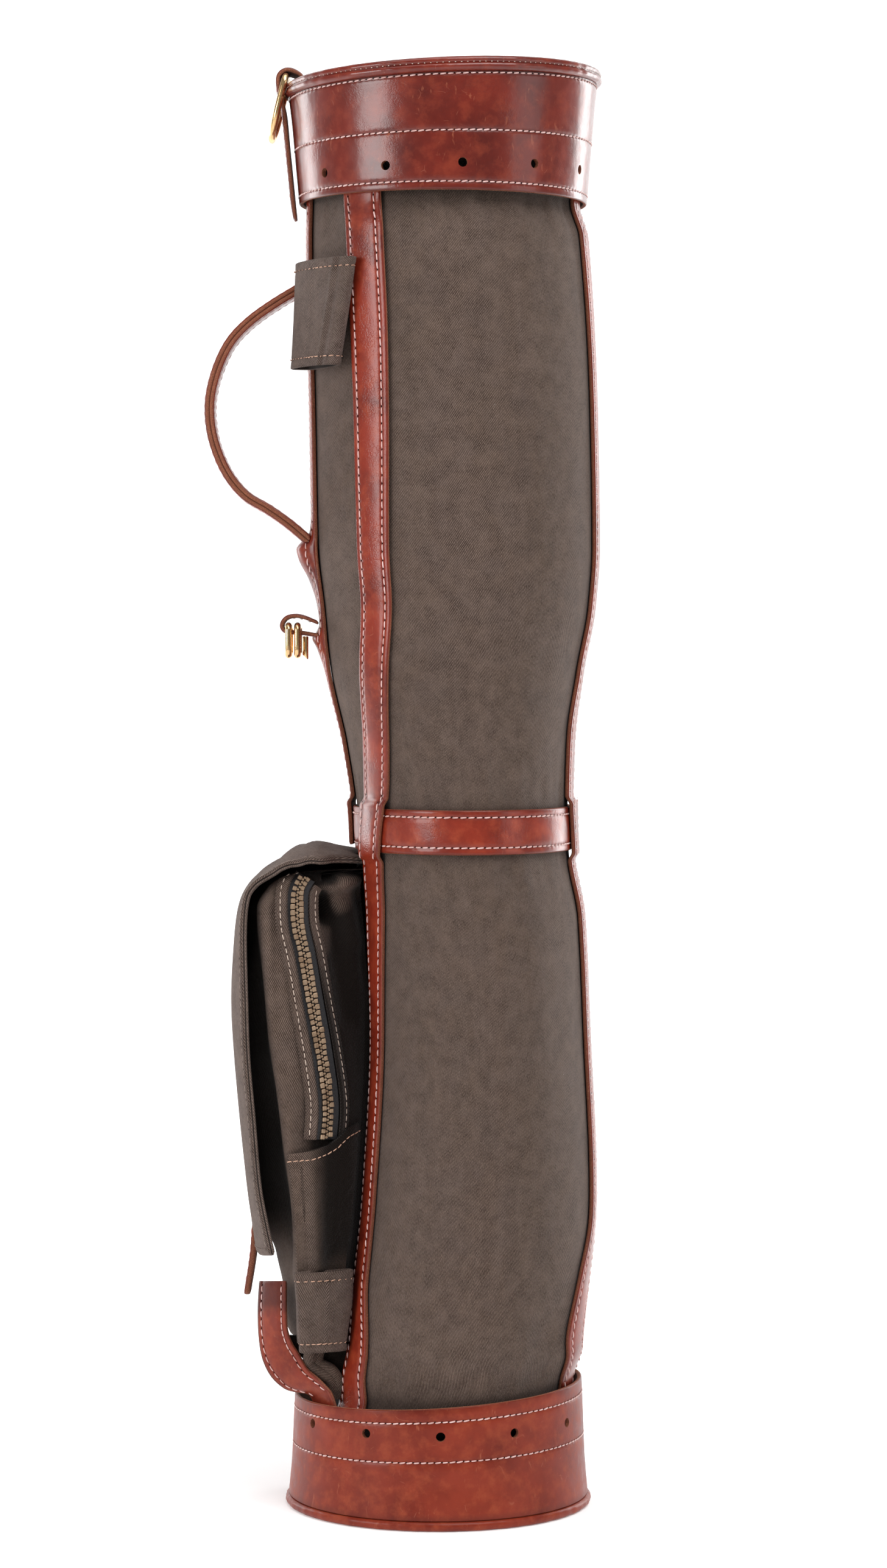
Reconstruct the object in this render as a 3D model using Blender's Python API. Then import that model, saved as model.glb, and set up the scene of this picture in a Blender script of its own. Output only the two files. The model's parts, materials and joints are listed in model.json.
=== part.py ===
"""Small carry golf bag: waxed canvas tube with leather trim, a zipped side pocket and brass fittings.

Frame: metres, +Z up, origin on the floor under the middle of the foot. The carrying handle and the pocket are on -X.
Azimuths are in degrees about +Z, counted from -Y towards +X, so the handle side is about -90.
"""
import math

import bmesh
import bpy
from mathutils import Matrix, Vector

# Driving dimensions
AROUND = 36                # facets round the bag
SEAT = 0.0004              # gap that touching pieces keep
CANVAS = 0.0018            # canvas wall
STRAP_WIDTH = 0.026
STRAP_THICK = 0.0030
STRAP_LIFT = 0.0008        # clears the facets between the rows
STRAP_EXTRA_ROWS = (0.1175, 0.1600, 0.4850)
BAND_LOW, BAND_HIGH = 0.3989, 0.4247
BAND_THICK = 0.0024
TRIM_WALL = 0.0030         # leather of the cuff and the cup
CUFF_CENTRE_X = 0.0020
CUP_CENTRE_X = -0.0010
RIM_RISE = 0.0040          # the rim leans up towards +X
CUP_RISE = 0.0050          # and so does the cup's edge
HOLE_RADIUS = 0.0028
HOLE_STEP = 30.0
CUFF_HOLE_Z, CUFF_HOLE_START = 0.8032, 7.5
CUP_HOLE_Z, CUP_HOLE_START = 0.0556, 1.0
HOLE_LEAN = 0.0025         # the cuff's holes follow its rim

# Canvas tube: height, left side, right side, half depth
TUBE = (
    (0.0060, -0.0890, 0.0870, 0.0880),
    (0.0450, -0.0780, 0.0790, 0.0810),
    (0.0690, -0.0655, 0.0775, 0.0789),
    (0.0800, -0.0630, 0.0792, 0.0802),
    (0.0990, -0.0575, 0.0857, 0.0860),
    (0.1360, -0.0515, 0.0885, 0.0890),
    (0.1900, -0.0455, 0.0922, 0.0925),
    (0.2845, -0.0410, 0.0882, 0.0945),
    (0.3586, -0.0455, 0.0848, 0.0920),
    (0.3957, -0.0488, 0.0784, 0.0885),
    (0.4217, -0.0500, 0.0776, 0.0875),
    (0.4625, -0.0560, 0.0786, 0.0885),
    (0.5070, -0.0662, 0.0840, 0.0885),
    (0.5440, -0.0704, 0.0908, 0.0875),
    (0.5811, -0.0745, 0.0934, 0.0865),
    (0.6553, -0.0760, 0.0923, 0.0865),
    (0.7665, -0.0779, 0.0864, 0.0835),
    (0.7870, -0.0776, 0.0812, 0.0793),
    (0.8000, -0.0786, 0.0825, 0.0806),
    (0.8080, -0.0825, 0.0862, 0.0843),
    (0.8550, -0.0874, 0.0914, 0.0894),
)
RIM_LEAN_FROM = 0.8080     # the canvas follows the leaning rim above this height

# Soft hollows (-) and bellies (+) of the canvas: azimuth, height, depth, half width in degrees, half height
FOLDS = (
    (22.0, 0.3000, 0.0022, 26.0, 0.070),
    (18.0, 0.4650, -0.0024, 20.0, 0.030),
    (40.0, 0.1050, -0.0028, 14.0, 0.026),
    (24.0, 0.6300, 0.0018, 26.0, 0.090),
    (160.0, 0.3000, 0.0022, 30.0, 0.070),
    (160.0, 0.4650, -0.0024, 24.0, 0.030),
    (160.0, 0.6300, 0.0018, 30.0, 0.090),
)

# Where the lengthwise straps run: height, then the azimuth of each strap's middle
STRAP_RUN = (
    # height, front left, handle, rear left, right
    (0.0500, -51.0, -96.0, -146.0, 74.0),
    (0.0690, -53.0, -97.0, -146.0, 73.0),
    (0.0860, -58.0, -98.0, -146.0, 71.0),
    (0.1080, -62.5, -99.0, -147.0, 66.0),
    (0.1430, -69.5, -99.0, -148.0, 73.0),
    (0.1780, -70.4, -99.0, -150.0, 82.0),
    (0.2880, -68.2, -99.0, -151.0, 82.5),
    (0.3620, -60.4, -99.0, -150.0, 82.5),
    (0.4093, -55.3, -99.0, -148.0, 82.0),
    (0.4269, -52.0, -97.0, -147.0, 80.0),
    (0.4712, -43.9, -91.0, -141.0, 80.5),
    (0.5070, -38.5, -88.0, -138.0, 84.0),
    (0.5574, -35.0, -86.0, -137.0, 84.5),
    (0.6867, -34.5, -86.0, -137.0, 84.0),
    (0.8000, -36.3, -86.0, -136.0, 81.0),
)
FRONT_LEFT, HANDLE_SIDE, REAR_LEFT, RIGHT = 1, 2, 3, 4
# The front left strap is cut narrower above the waist: height, share of the full width
FRONT_LEFT_WIDTH = ((0.4400, 1.00), (0.4850, 0.86), (0.5600, 0.84), (0.6400, 0.92), (0.7200, 1.00))
STRAP_FOOT, STRAP_HEAD = 0.0520, 0.7990
HANDLE_STRAP_FOOT = 0.4010

# Turned leather: height, outer radius
CUFF_PROFILE = ((0.7880, 0.0873), (0.8050, 0.0885), (0.8400, 0.0915), (0.8553, 0.0935))
CUP_PROFILE = ((0.0060, 0.0915), (0.0300, 0.0892), (0.0720, 0.0877))
# Closed welts: radius, height
RIM_BEAD = ((0.0886, 0.8557), (0.0935, 0.8557), (0.0955, 0.8583), (0.0950, 0.8618), (0.0915, 0.8638),
            (0.0884, 0.8612))
PIPING = ((0.0884, 0.0000), (0.0915, 0.0000), (0.0928, 0.0016), (0.0928, 0.0040), (0.0915, 0.0056),
          (0.0884, 0.0056))
DISC_RADIUS, DISC_TOP = 0.0880, 0.0054

# Handle's middle line, from its upper seat to its lower one: x, z
HANDLE_Y = -0.006
HANDLE_WIDTH, HANDLE_THICK = 0.024, 0.0065
HANDLE_PATH = (
    (-0.0819, 0.7380), (-0.1001, 0.7271), (-0.1153, 0.7160), (-0.1267, 0.7035), (-0.1345, 0.6869),
    (-0.1385, 0.6691), (-0.1378, 0.6525), (-0.1337, 0.6374), (-0.1267, 0.6233), (-0.1167, 0.6119),
    (-0.1038, 0.6041), (-0.0912, 0.5953), (-0.0790, 0.5850),
)

# Umbrella sleeves. Upper, on the tube: height, left azimuth, right azimuth, stand-off
SLEEVE_UPPER = ((0.6870, -75.8, -45.5, 0.0182), (0.7180, -75.4, -40.8, 0.0160), (0.7500, -75.0, -36.5, 0.0142))
SLEEVE_SEAT = 0.0010
# Lower, on the pocket's side: height, share across at the left and at the right, stand-off
SLEEVE_LOWER = ((0.0990, 0.05, 0.97, 0.0092), (0.1230, 0.03, 0.97, 0.0100), (0.1475, 0.01, 0.97, 0.0108))
SLEEVE_POINTS = 16

# Ball pocket. Corner is its near front edge, crown its front's middle, root where it leaves the tube
POCKET = (
    # height, corner x, corner y, crown x, root x, root y, side's bulge, far y
    (0.1030, -0.0855, -0.0420, -0.0890, -0.0640, -0.0345, 0.0008, 0.0500),
    (0.1100, -0.0860, -0.0430, -0.0905, -0.0630, -0.0345, 0.0010, 0.0520),
    (0.1300, -0.0862, -0.0450, -0.0935, -0.0590, -0.0330, 0.0012, 0.0550),
    (0.1800, -0.0882, -0.0465, -0.0990, -0.0540, -0.0300, 0.0030, 0.0570),
    (0.2288, -0.0938, -0.0475, -0.1035, -0.0500, -0.0275, 0.0060, 0.0580),
    (0.2900, -0.1020, -0.0470, -0.1105, -0.0490, -0.0265, 0.0080, 0.0580),
    (0.3370, -0.1068, -0.0465, -0.1150, -0.0500, -0.0290, 0.0080, 0.0580),
    (0.3650, -0.1090, -0.0460, -0.1151, -0.0530, -0.0320, 0.0070, 0.0570),
    (0.3770, -0.1030, -0.0440, -0.1084, -0.0560, -0.0335, 0.0050, 0.0550),
    (0.3835, -0.0940, -0.0410, -0.0990, -0.0580, -0.0330, 0.0030, 0.0520),
    (0.3855, -0.0860, -0.0380, -0.0890, -0.0600, -0.0320, 0.0010, 0.0480),
)
POCKET_FAR_ROOT = (-0.0400, 0.0500)
POCKET_FAR_BULGE = 0.005
POCKET_WALL = 0.0018
POCKET_TURN = 1.2          # degrees that the near seam keeps from the front left strap
POCKET_TURN_LIFT = 0.0048
POCKET_SEAM = -76.0        # azimuth of that seam where the strap leaves it room
ZIP_PATH = ((-0.0838, 0.3780), (-0.0853, 0.3721), (-0.0849, 0.3554), (-0.0813, 0.3379), (-0.0769, 0.3104),
            (-0.0719, 0.2802), (-0.0680, 0.2486), (-0.0690, 0.2262))
TAPE_WIDTH, TAPE_THICK = 0.0126, 0.0008
TEETH_WIDTH, TEETH_THICK = 0.0062, 0.0022
PATCH_FOOT, PATCH_THICK, PATCH_SLACK = 0.1100, 0.0016, 0.0024
PATCH_HEM = ((0.03, 0.2182), (0.35, 0.2204), (0.60, 0.2255), (0.80, 0.2330), (0.97, 0.2350))

# Flap, outer face: x and z down its middle, x and z along its edges
FLAP = (
    (-0.0508, 0.3950, -0.0492, 0.3935), (-0.0640, 0.3992, -0.0620, 0.3945), (-0.0756, 0.4014, -0.0720, 0.3945),
    (-0.0860, 0.3993, -0.0820, 0.3938), (-0.0989, 0.3905, -0.0930, 0.3908), (-0.1100, 0.3825, -0.1030, 0.3852),
    (-0.1175, 0.3735, -0.1120, 0.3790), (-0.1215, 0.3620, -0.1165, 0.3700), (-0.1240, 0.3420, -0.1180, 0.3500),
    (-0.1259, 0.3070, -0.1170, 0.3100), (-0.1250, 0.2750, -0.1158, 0.2760), (-0.1222, 0.2403, -0.1128, 0.2400),
    (-0.1175, 0.2010, -0.1095, 0.2000), (-0.1137, 0.1737, -0.1050, 0.1750), (-0.1108, 0.1530, -0.1010, 0.1575),
)
FLAP_MIDDLE_Y, FLAP_HALF_WIDTH, FLAP_THICK = 0.0060, 0.0575, 0.0042
FLAP_FAR_ROOT_X = -0.0345
FLAP_ACROSS = (-1.0, -0.82, -0.5, 0.0, 0.5, 0.82, 1.0)

# Billet hanging on the flap: height, outer x, inner x
BILLET = ((0.1700, -0.1144, -0.1137), (0.1600, -0.1150, -0.1122), (0.1515, -0.1156, -0.1123),
          (0.1400, -0.1172, -0.1139), (0.1300, -0.1189, -0.1156), (0.1267, -0.1182, -0.1163))
BILLET_WIDTH = 0.024

# Closing strap from inside the cup up in front of the pocket: far edge x, y, z and near edge x, y, z
CLOSING = (
    (-0.0725, -0.0345, 0.0500, -0.0608, -0.0540, 0.0620), (-0.0760, -0.0300, 0.0640, -0.0650, -0.0500, 0.0740),
    (-0.0790, -0.0290, 0.0700, -0.0690, -0.0480, 0.0785), (-0.0870, -0.0270, 0.0712, -0.0734, -0.0450, 0.0826),
    (-0.0941, -0.0240, 0.0730, -0.0797, -0.0425, 0.0879), (-0.1019, -0.0220, 0.0798, -0.0853, -0.0395, 0.0969),
    (-0.1071, -0.0200, 0.0898, -0.0893, -0.0380, 0.1031), (-0.1093, -0.0200, 0.1018, -0.0919, -0.0390, 0.1113),
    (-0.1100, -0.0200, 0.1165, -0.0924, -0.0400, 0.1207), (-0.1096, -0.0200, 0.1293, -0.0925, -0.0400, 0.1317),
    (-0.1090, -0.0200, 0.1374, -0.0925, -0.0395, 0.1405),
)
CLOSING_THICK = 0.0024

# Gathered canvas under the pocket
TAIL_RADIUS = 0.0044
TAIL_PATH = ((-0.0755, -0.0320, 0.0995), (-0.0772, -0.0335, 0.0930), (-0.0755, -0.0340, 0.0880),
             (-0.0715, -0.0340, 0.0840), (-0.0682, -0.0335, 0.0790), (-0.0676, -0.0330, 0.0690))

# D-ring at the mouth, leaning on its tab
RING_Y = 0.0
RING_PIVOT = (-0.0925, 0.8642)
RING_TILT = 13.7
RING_WIRE, RING_HALF, RING_DROP, RING_CORNER = 0.0020, 0.0170, 0.0380, 0.0050
TAB_WIDTH = 0.025
# Tab over the rim, from inside the mouth to its tip outside: outer x, z, inner x, z
TAB = (
    (-0.0795, 0.8400, -0.0822, 0.8400), (-0.0798, 0.8560, -0.0825, 0.8560), (-0.0812, 0.8640, -0.0838, 0.8632),
    (-0.0862, 0.8685, -0.0880, 0.8660), (-0.0920, 0.8698, -0.0922, 0.8670), (-0.0968, 0.8676, -0.0948, 0.8655),
    (-0.0990, 0.8630, -0.0962, 0.8628), (-0.0985, 0.8560, -0.0956, 0.8560), (-0.0957, 0.8440, -0.0927, 0.8435),
    (-0.0938, 0.8250, -0.0909, 0.8250), (-0.0918, 0.8050, -0.0889, 0.8050), (-0.0902, 0.7885, -0.0873, 0.7885),
    (-0.0885, 0.7785, -0.0862, 0.7790),
)

# Brass rings in the loop on the handle strap
CLIP_Y = -0.0050
CLIP_WIRE, CLIP_HALF, CLIP_DROP, CLIP_CORNER = 0.0020, 0.0130, 0.0178, 0.0035
CLIP_OUTER = (-0.0913, 0.5338)
CLIP_INNER = (-0.0859, 0.5338)
LOOP_WIDTH = 0.0180
# Leather loop: outer x, z, inner x, z, from its upper seat on the strap round the rings and back
CLIP_LOOP = (
    (-0.0739, 0.5370, -0.0736, 0.5344), (-0.0815, 0.5402, -0.0818, 0.5376), (-0.0873, 0.5412, -0.0873, 0.5386),
    (-0.0930, 0.5400, -0.0918, 0.5376), (-0.0964, 0.5362, -0.0940, 0.5350), (-0.0966, 0.5322, -0.0941, 0.5328),
    (-0.0940, 0.5292, -0.0925, 0.5314), (-0.0890, 0.5284, -0.0890, 0.5312), (-0.0830, 0.5280, -0.0832, 0.5308),
    (-0.0728, 0.5263, -0.0731, 0.5291),
)
TONGUE_RADIUS = 0.0018
TONGUE_X, TONGUE_TOP, TONGUE_FOOT = -0.0812, 0.5268, 0.5146

# Colours: red, green, blue, roughness, metallic
FINISHES = {
    "canvas": (0.150, 0.112, 0.092, 0.85, 0.0),
    "canvas_flap": (0.170, 0.130, 0.108, 0.85, 0.0),
    "leather_dark": (0.200, 0.045, 0.030, 0.40, 0.0),
    "leather": (0.280, 0.060, 0.040, 0.40, 0.0),
    "leather_light": (0.260, 0.055, 0.035, 0.45, 0.0),
    "board": (0.060, 0.045, 0.038, 0.80, 0.0),
    "brass": (0.720, 0.480, 0.180, 0.25, 1.0),
    "zip_metal": (0.260, 0.180, 0.110, 0.45, 1.0),
    "zip_tape": (0.014, 0.012, 0.014, 0.90, 0.0),
}


def clear_scene():
    for item in list(bpy.data.objects):
        bpy.data.objects.remove(item, do_unlink=True)


def finish(name):
    """The named material, made once."""
    if name in bpy.data.materials:
        return bpy.data.materials[name]
    red, green, blue, roughness, metallic = FINISHES[name]
    material = bpy.data.materials.new(name)
    material.use_nodes = True
    shader = material.node_tree.nodes["Principled BSDF"]
    shader.inputs["Base Color"].default_value = (red, green, blue, 1.0)
    shader.inputs["Roughness"].default_value = roughness
    shader.inputs["Metallic"].default_value = metallic
    return material


def make_object(name, points, faces, finish_name, parent=None):
    """A mesh object with its faces turned outwards and its round stretches shaded smooth."""
    mesh = bpy.data.meshes.new(name)
    work = bmesh.new()
    made = [work.verts.new(point) for point in points]
    for face in faces:
        work.faces.new([made[index] for index in face])
    bmesh.ops.recalc_face_normals(work, faces=work.faces)
    work.to_mesh(mesh)
    work.free()
    mesh.shade_smooth()
    mesh.set_sharp_from_angle(angle=math.radians(35))
    item = bpy.data.objects.new(name, mesh)
    bpy.context.scene.collection.objects.link(item)
    if finish_name:
        mesh.materials.append(finish(finish_name))
    if parent:
        mesh.transform(parent.matrix_world.inverted())
        item.parent = parent
    return item


def loft(name, loops, finish_name, ring=False, parent=None):
    """Joins closed loops of equal length into a solid, capped at both ends or closed on itself."""
    count = len(loops[0])
    points = [point for loop in loops for point in loop]
    faces = []
    pairs = list(zip(range(len(loops)), range(1, len(loops))))
    if ring:
        pairs.append((len(loops) - 1, 0))
    for first, second in pairs:
        for index in range(count):
            after = (index + 1) % count
            faces.append((first * count + index, first * count + after,
                          second * count + after, second * count + index))
    if not ring:
        faces.append(tuple(range(count)))
        faces.append(tuple(range((len(loops) - 1) * count, len(loops) * count)))
    return make_object(name, points, faces, finish_name, parent)


def wall(name, outer, inner, finish_name):
    """A tube wall between outer and inner loops, open at both ends."""
    return loft(name, outer + inner[::-1], finish_name, ring=True)


def sheet(name, outer, inner, finish_name):
    """A solid between two grids of points that face each other."""
    rows, columns = len(outer), len(outer[0])
    points = [point for grid in (outer, inner) for row in grid for point in row]
    faces = []
    for row in range(rows - 1):
        for column in range(columns - 1):
            corner = row * columns + column
            cell = (corner, corner + 1, corner + columns + 1, corner + columns)
            faces.append(cell)
            faces.append(tuple(rows * columns + index for index in reversed(cell)))
    edge = [column for column in range(columns)]
    edge += [row * columns + columns - 1 for row in range(1, rows)]
    edge += [(rows - 1) * columns + column for column in range(columns - 2, -1, -1)]
    edge += [row * columns for row in range(rows - 2, 0, -1)]
    for index, first in enumerate(edge):
        second = edge[(index + 1) % len(edge)]
        faces.append((first, second, rows * columns + second, rows * columns + first))
    return make_object(name, points, faces, finish_name)


def mix(first, second, share):
    return first + (second - first) * share


def look_up(table, height):
    """A table's other columns at a height, straight between its rows."""
    rows = sorted(table)
    height = min(max(height, rows[0][0]), rows[-1][0])
    for low, high in zip(rows, rows[1:]):
        if height <= high[0]:
            share = (height - low[0]) / (high[0] - low[0])
            return [mix(a, b, share) for a, b in zip(low[1:], high[1:])]
    return list(rows[-1][1:])


def smooth_path(points, steps):
    """A smooth curve through the points, with some steps between each two."""
    points = [Vector(point) for point in points]
    ends = [points[0] * 2 - points[1]] + points + [points[-1] * 2 - points[-2]]
    curve = []
    for before, start, stop, after in zip(ends, ends[1:], ends[2:], ends[3:]):
        for step in range(steps):
            t = step / steps
            curve.append(0.5 * (start * 2 + (stop - before) * t
                                + (before * 2 - start * 5 + stop * 4 - after) * t * t
                                + (start * 3 - before - stop * 3 + after) * t ** 3))
    return curve + [points[-1]]


def tube_point(azimuth, height, lift=0.0):
    """A point on the canvas, or lifted off it."""
    left, right, depth = look_up(TUBE, height)
    centre, half = (left + right) / 2, (right - left) / 2
    turn = math.radians(azimuth)
    fold = 0.0
    for fold_azimuth, fold_height, fold_depth, half_width, half_height in FOLDS:
        across = ((azimuth - fold_azimuth + 180) % 360 - 180) / half_width
        fold += fold_depth * math.exp(-across ** 2 - ((height - fold_height) / half_height) ** 2)
    normal = Vector((math.sin(turn) / half, -math.cos(turn) / depth, 0)).normalized()
    top = TUBE[-1][0]
    lean = RIM_RISE * max(0.0, height - RIM_LEAN_FROM) / (top - RIM_LEAN_FROM)
    surface = Vector((centre + half * math.sin(turn), -depth * math.cos(turn), height + lean * math.sin(turn)))
    return surface + normal * (fold + lift)


def tube_loop(height, lift=0.0, count=AROUND):
    return [tube_point(360.0 * index / count, height, lift) for index in range(count)]


def body_tube():
    heights = [row[0] for row in TUBE]
    outer = [tube_loop(height) for height in heights]
    inner = [tube_loop(height, -CANVAS) for height in heights]
    return wall("body_tube", outer, inner, "canvas")


def turned_point(centre, radius, azimuth, height, rise=0.0):
    turn = math.radians(azimuth)
    return Vector((centre + radius * math.sin(turn), -radius * math.cos(turn), height + rise * math.sin(turn)))


def turned_loop(centre, radius, height, rise=0.0):
    return [turned_point(centre, radius, 360.0 * index / AROUND, height, rise) for index in range(AROUND)]


def hole_cutter(name, centre, radius, height, start, lean):
    """Punches for a ring of holes, all in one cutter."""
    work = bmesh.new()
    for index in range(round(360 / HOLE_STEP)):
        azimuth = start + HOLE_STEP * index
        place = turned_point(centre, radius, azimuth, height, lean)
        turn = Matrix.Rotation(math.radians(azimuth), 4, "Z") @ Matrix.Rotation(math.radians(90), 4, "X")
        bmesh.ops.create_cone(work, cap_ends=True, segments=8, radius1=HOLE_RADIUS, radius2=HOLE_RADIUS,
                              depth=0.012, matrix=Matrix.Translation(place) @ turn)
    mesh = bpy.data.meshes.new(name)
    work.to_mesh(mesh)
    work.free()
    return guide(name, mesh)


def guide(name, mesh):
    """An object that only cuts."""
    item = bpy.data.objects.new(name, mesh)
    bpy.context.scene.collection.objects.link(item)
    item.hide_render = True
    item.display_type = "WIRE"
    return item


def cut(item, cutter):
    modifier = item.modifiers.new("cut", "BOOLEAN")
    modifier.operation = "DIFFERENCE"
    modifier.object = cutter


def punched_ring(name, centre, profile, rise, holes, finish_name):
    """The cuff or the cup: a leather wall whose edge leans, with its ring of holes."""
    low, high = profile[0][0], profile[-1][0]
    top_leans = [rise * (height - low) / (high - low) for height, radius in profile]
    outer = [turned_loop(centre, radius, height, lean) for (height, radius), lean in zip(profile, top_leans)]
    inner = [turned_loop(centre, radius - TRIM_WALL, height, lean)
             for (height, radius), lean in zip(profile, top_leans)]
    item = wall(name, outer, inner, finish_name)
    hole_height, hole_start, hole_lean = holes
    radius = look_up(profile, hole_height)[0] - TRIM_WALL / 2
    cut(item, hole_cutter(name + "_punch", centre, radius, hole_height, hole_start, hole_lean))
    return item


def welt(name, centre, profile, rise, finish_name):
    loops = [turned_loop(centre, radius, height, rise) for radius, height in profile]
    return loft(name, loops, finish_name, ring=True)


def base_disc():
    loops = [turned_loop(CUP_CENTRE_X, DISC_RADIUS, height) for height in (0.0, DISC_TOP)]
    return loft("base_disc", loops, "board")


def waist_band():
    heights = [BAND_LOW] + [row[0] for row in TUBE if BAND_LOW < row[0] < BAND_HIGH] + [BAND_HIGH]
    outer = [tube_loop(height, SEAT + BAND_THICK) for height in heights]
    inner = [tube_loop(height, SEAT) for height in heights]
    return wall("waist_band", outer, inner, "leather")


def strap_lift(height):
    """How far a strap's inner face stands off the canvas: it climbs over the waist band."""
    margin = 0.0015
    ramp = 0.0050
    away = max(BAND_LOW - margin - height, height - BAND_HIGH - margin, 0.0)
    return STRAP_LIFT + (BAND_THICK + SEAT) * max(0.0, 1.0 - away / ramp)


def strap_span(run, height):
    """The azimuth of a strap's middle, and half its width in degrees."""
    azimuth = look_up(STRAP_RUN, height)[run - 1]
    step = 0.5
    pace = (tube_point(azimuth + step, height) - tube_point(azimuth - step, height)).length / (2 * step)
    share = look_up(FRONT_LEFT_WIDTH, height)[0] if run == FRONT_LEFT else 1.0
    return azimuth, share * STRAP_WIDTH / 2 / pace


def strap_edge(run, height):
    azimuth, half = strap_span(run, height)
    return azimuth - half


def strap_loop(run, height):
    """A strap's section: four points on its inner face and four on its outer face."""
    azimuth, half = strap_span(run, height)
    low = strap_lift(height)
    shares = (-1.0, -0.36, 0.36, 1.0)
    inner = [tube_point(azimuth + half * share, height, low) for share in shares]
    outer = [tube_point(azimuth + half * share, height, low + STRAP_THICK) for share in reversed(shares)]
    return inner + outer


def strap(name, run, foot=STRAP_FOOT):
    band_steps = (BAND_LOW - 0.0065, BAND_LOW - 0.0015, BAND_HIGH + 0.0015, BAND_HIGH + 0.0065)
    heights = [foot, STRAP_HEAD] + [row[0] for row in TUBE] + list(band_steps + STRAP_EXTRA_ROWS)
    heights = sorted(height for height in heights if foot <= height <= STRAP_HEAD)
    return loft(name, [strap_loop(run, height) for height in heights], "leather")


def bar_section(width, thick, chamfer):
    """A flat bar's section with chamfered corners, as (across the width, through the thickness)."""
    half_w, half_t = width / 2, thick / 2
    return [(-half_w + chamfer, -half_t), (half_w - chamfer, -half_t), (half_w, -half_t + chamfer),
            (half_w, half_t - chamfer), (half_w - chamfer, half_t), (-half_w + chamfer, half_t),
            (-half_w, half_t - chamfer), (-half_w, -half_t + chamfer)]


def handle():
    """A flat leather grip bowed out from the handle strap; its ends are cut flush with the strap."""
    path = smooth_path([(x, 0.0, z) for x, z in HANDLE_PATH], 2)
    loops = []
    for index, point in enumerate(path):
        ahead = path[min(index + 1, len(path) - 1)] - path[max(index - 1, 0)]
        along = ahead.normalized()
        out = Vector((-along.z, 0, along.x))
        loop = []
        for across, through in bar_section(HANDLE_WIDTH, HANDLE_THICK, 0.0014):
            place = point + out * through + Vector((0, HANDLE_Y + across, 0))
            if index in (0, len(path) - 1):
                place += along * ((point.x - place.x) / along.x)
            loop.append(place)
        loops.append(loop)
    return loft("handle", loops, "leather")


def squared_ring(inset, count=SLEEVE_POINTS):
    """Points of a flattened loop, each as (share across, share out), both from -1 to 1."""
    points = []
    for index in range(count):
        turn = 2 * math.pi * (index + 0.5) / count
        across = math.copysign(abs(math.cos(turn)) ** 0.5, math.cos(turn))
        out = math.copysign(abs(math.sin(turn)) ** 0.5, math.sin(turn))
        points.append((across * (1 - inset[0]), out * (1 - inset[1])))
    return points


def sleeve_upper():
    """A canvas sleeve on the tube, whose right end stands over the front left strap."""
    def loop(row, thin):
        height, left, right, depth = row
        edge = strap_edge(FRONT_LEFT, height)
        points = []
        for across, out in squared_ring((thin / 0.022, thin / (depth / 2))):
            azimuth = mix(left, right, (across + 1) / 2)
            over = min(max((azimuth - edge + 12.0) / 7.0, 0.0), 1.0)
            low = SLEEVE_SEAT + (STRAP_THICK + SEAT) * over
            points.append(tube_point(azimuth, height, mix(low, depth, (out + 1) / 2)))
        return points
    outer = [loop(row, 0.0) for row in SLEEVE_UPPER]
    inner = [loop(row, CANVAS) for row in SLEEVE_UPPER]
    return wall("umbrella_sleeve_upper", outer, inner, "canvas")


def bow(start, stop, bulge, share):
    """A shallow arc from start to stop in plan; bulge is to the right of the way it runs."""
    along = stop - start
    side = Vector((along.y, -along.x)).normalized()
    middle = (start + stop) / 2 + side * bulge * 2
    return start * (1 - share) ** 2 + middle * 2 * share * (1 - share) + stop * share ** 2


def pocket_side(share, height, lift=0.0, thin=0.0):
    """A point on the pocket's near side: share 0 at its front corner, 1 where it meets the tube."""
    corner_x, corner_y, crown_x, root_x, root_y, bulge, far_y = look_up(POCKET, height)
    corner = Vector((corner_x + thin, corner_y + thin))
    root = Vector((root_x - 0.5 * thin, root_y + 1.15 * thin))
    place = bow(corner, root, bulge, share)
    nearby = bow(corner, root, bulge, share + 0.01) - bow(corner, root, bulge, share - 0.01)
    side = Vector((nearby.y, -nearby.x)).normalized()
    place += side * lift
    return Vector((place.x, place.y, height))


def pocket_loop(height, thin=0.0):
    """The pocket's section: near side, crowned front, far side, then two points inside the tube."""
    corner_x, corner_y, crown_x, root_x, root_y, bulge, far_y = look_up(POCKET, height)
    loop = [pocket_side(share, height, thin=thin).to_2d() for share in (1.0, 0.75, 0.5, 0.25, 0.05)]
    for share in (0.04, 0.15, 0.32, 0.5, 0.68, 0.85, 0.96):
        crown = (crown_x - corner_x) * (1 - abs(2 * share - 1) ** 2.6)
        loop.append(Vector((corner_x + thin + crown, mix(corner_y + thin, far_y - thin, share))))
    far_corner = Vector((corner_x + thin, far_y - thin))
    far_root = Vector((POCKET_FAR_ROOT[0], min(POCKET_FAR_ROOT[1], far_y - 0.004) - thin))
    loop += [bow(far_corner, far_root, -POCKET_FAR_BULGE, share) for share in (0.05, 0.35, 0.7, 1.0)]
    loop.append(Vector((-0.010, 0.034)))
    seam = min(strap_edge(FRONT_LEFT, height) - POCKET_TURN, POCKET_SEAM) - math.degrees(thin / 0.075)
    loop += [tube_point(seam, height, -0.016 - 2 * thin).to_2d(), tube_point(seam, height, POCKET_TURN_LIFT).to_2d()]
    return [Vector((place.x, place.y, height)) for place in loop]


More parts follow.
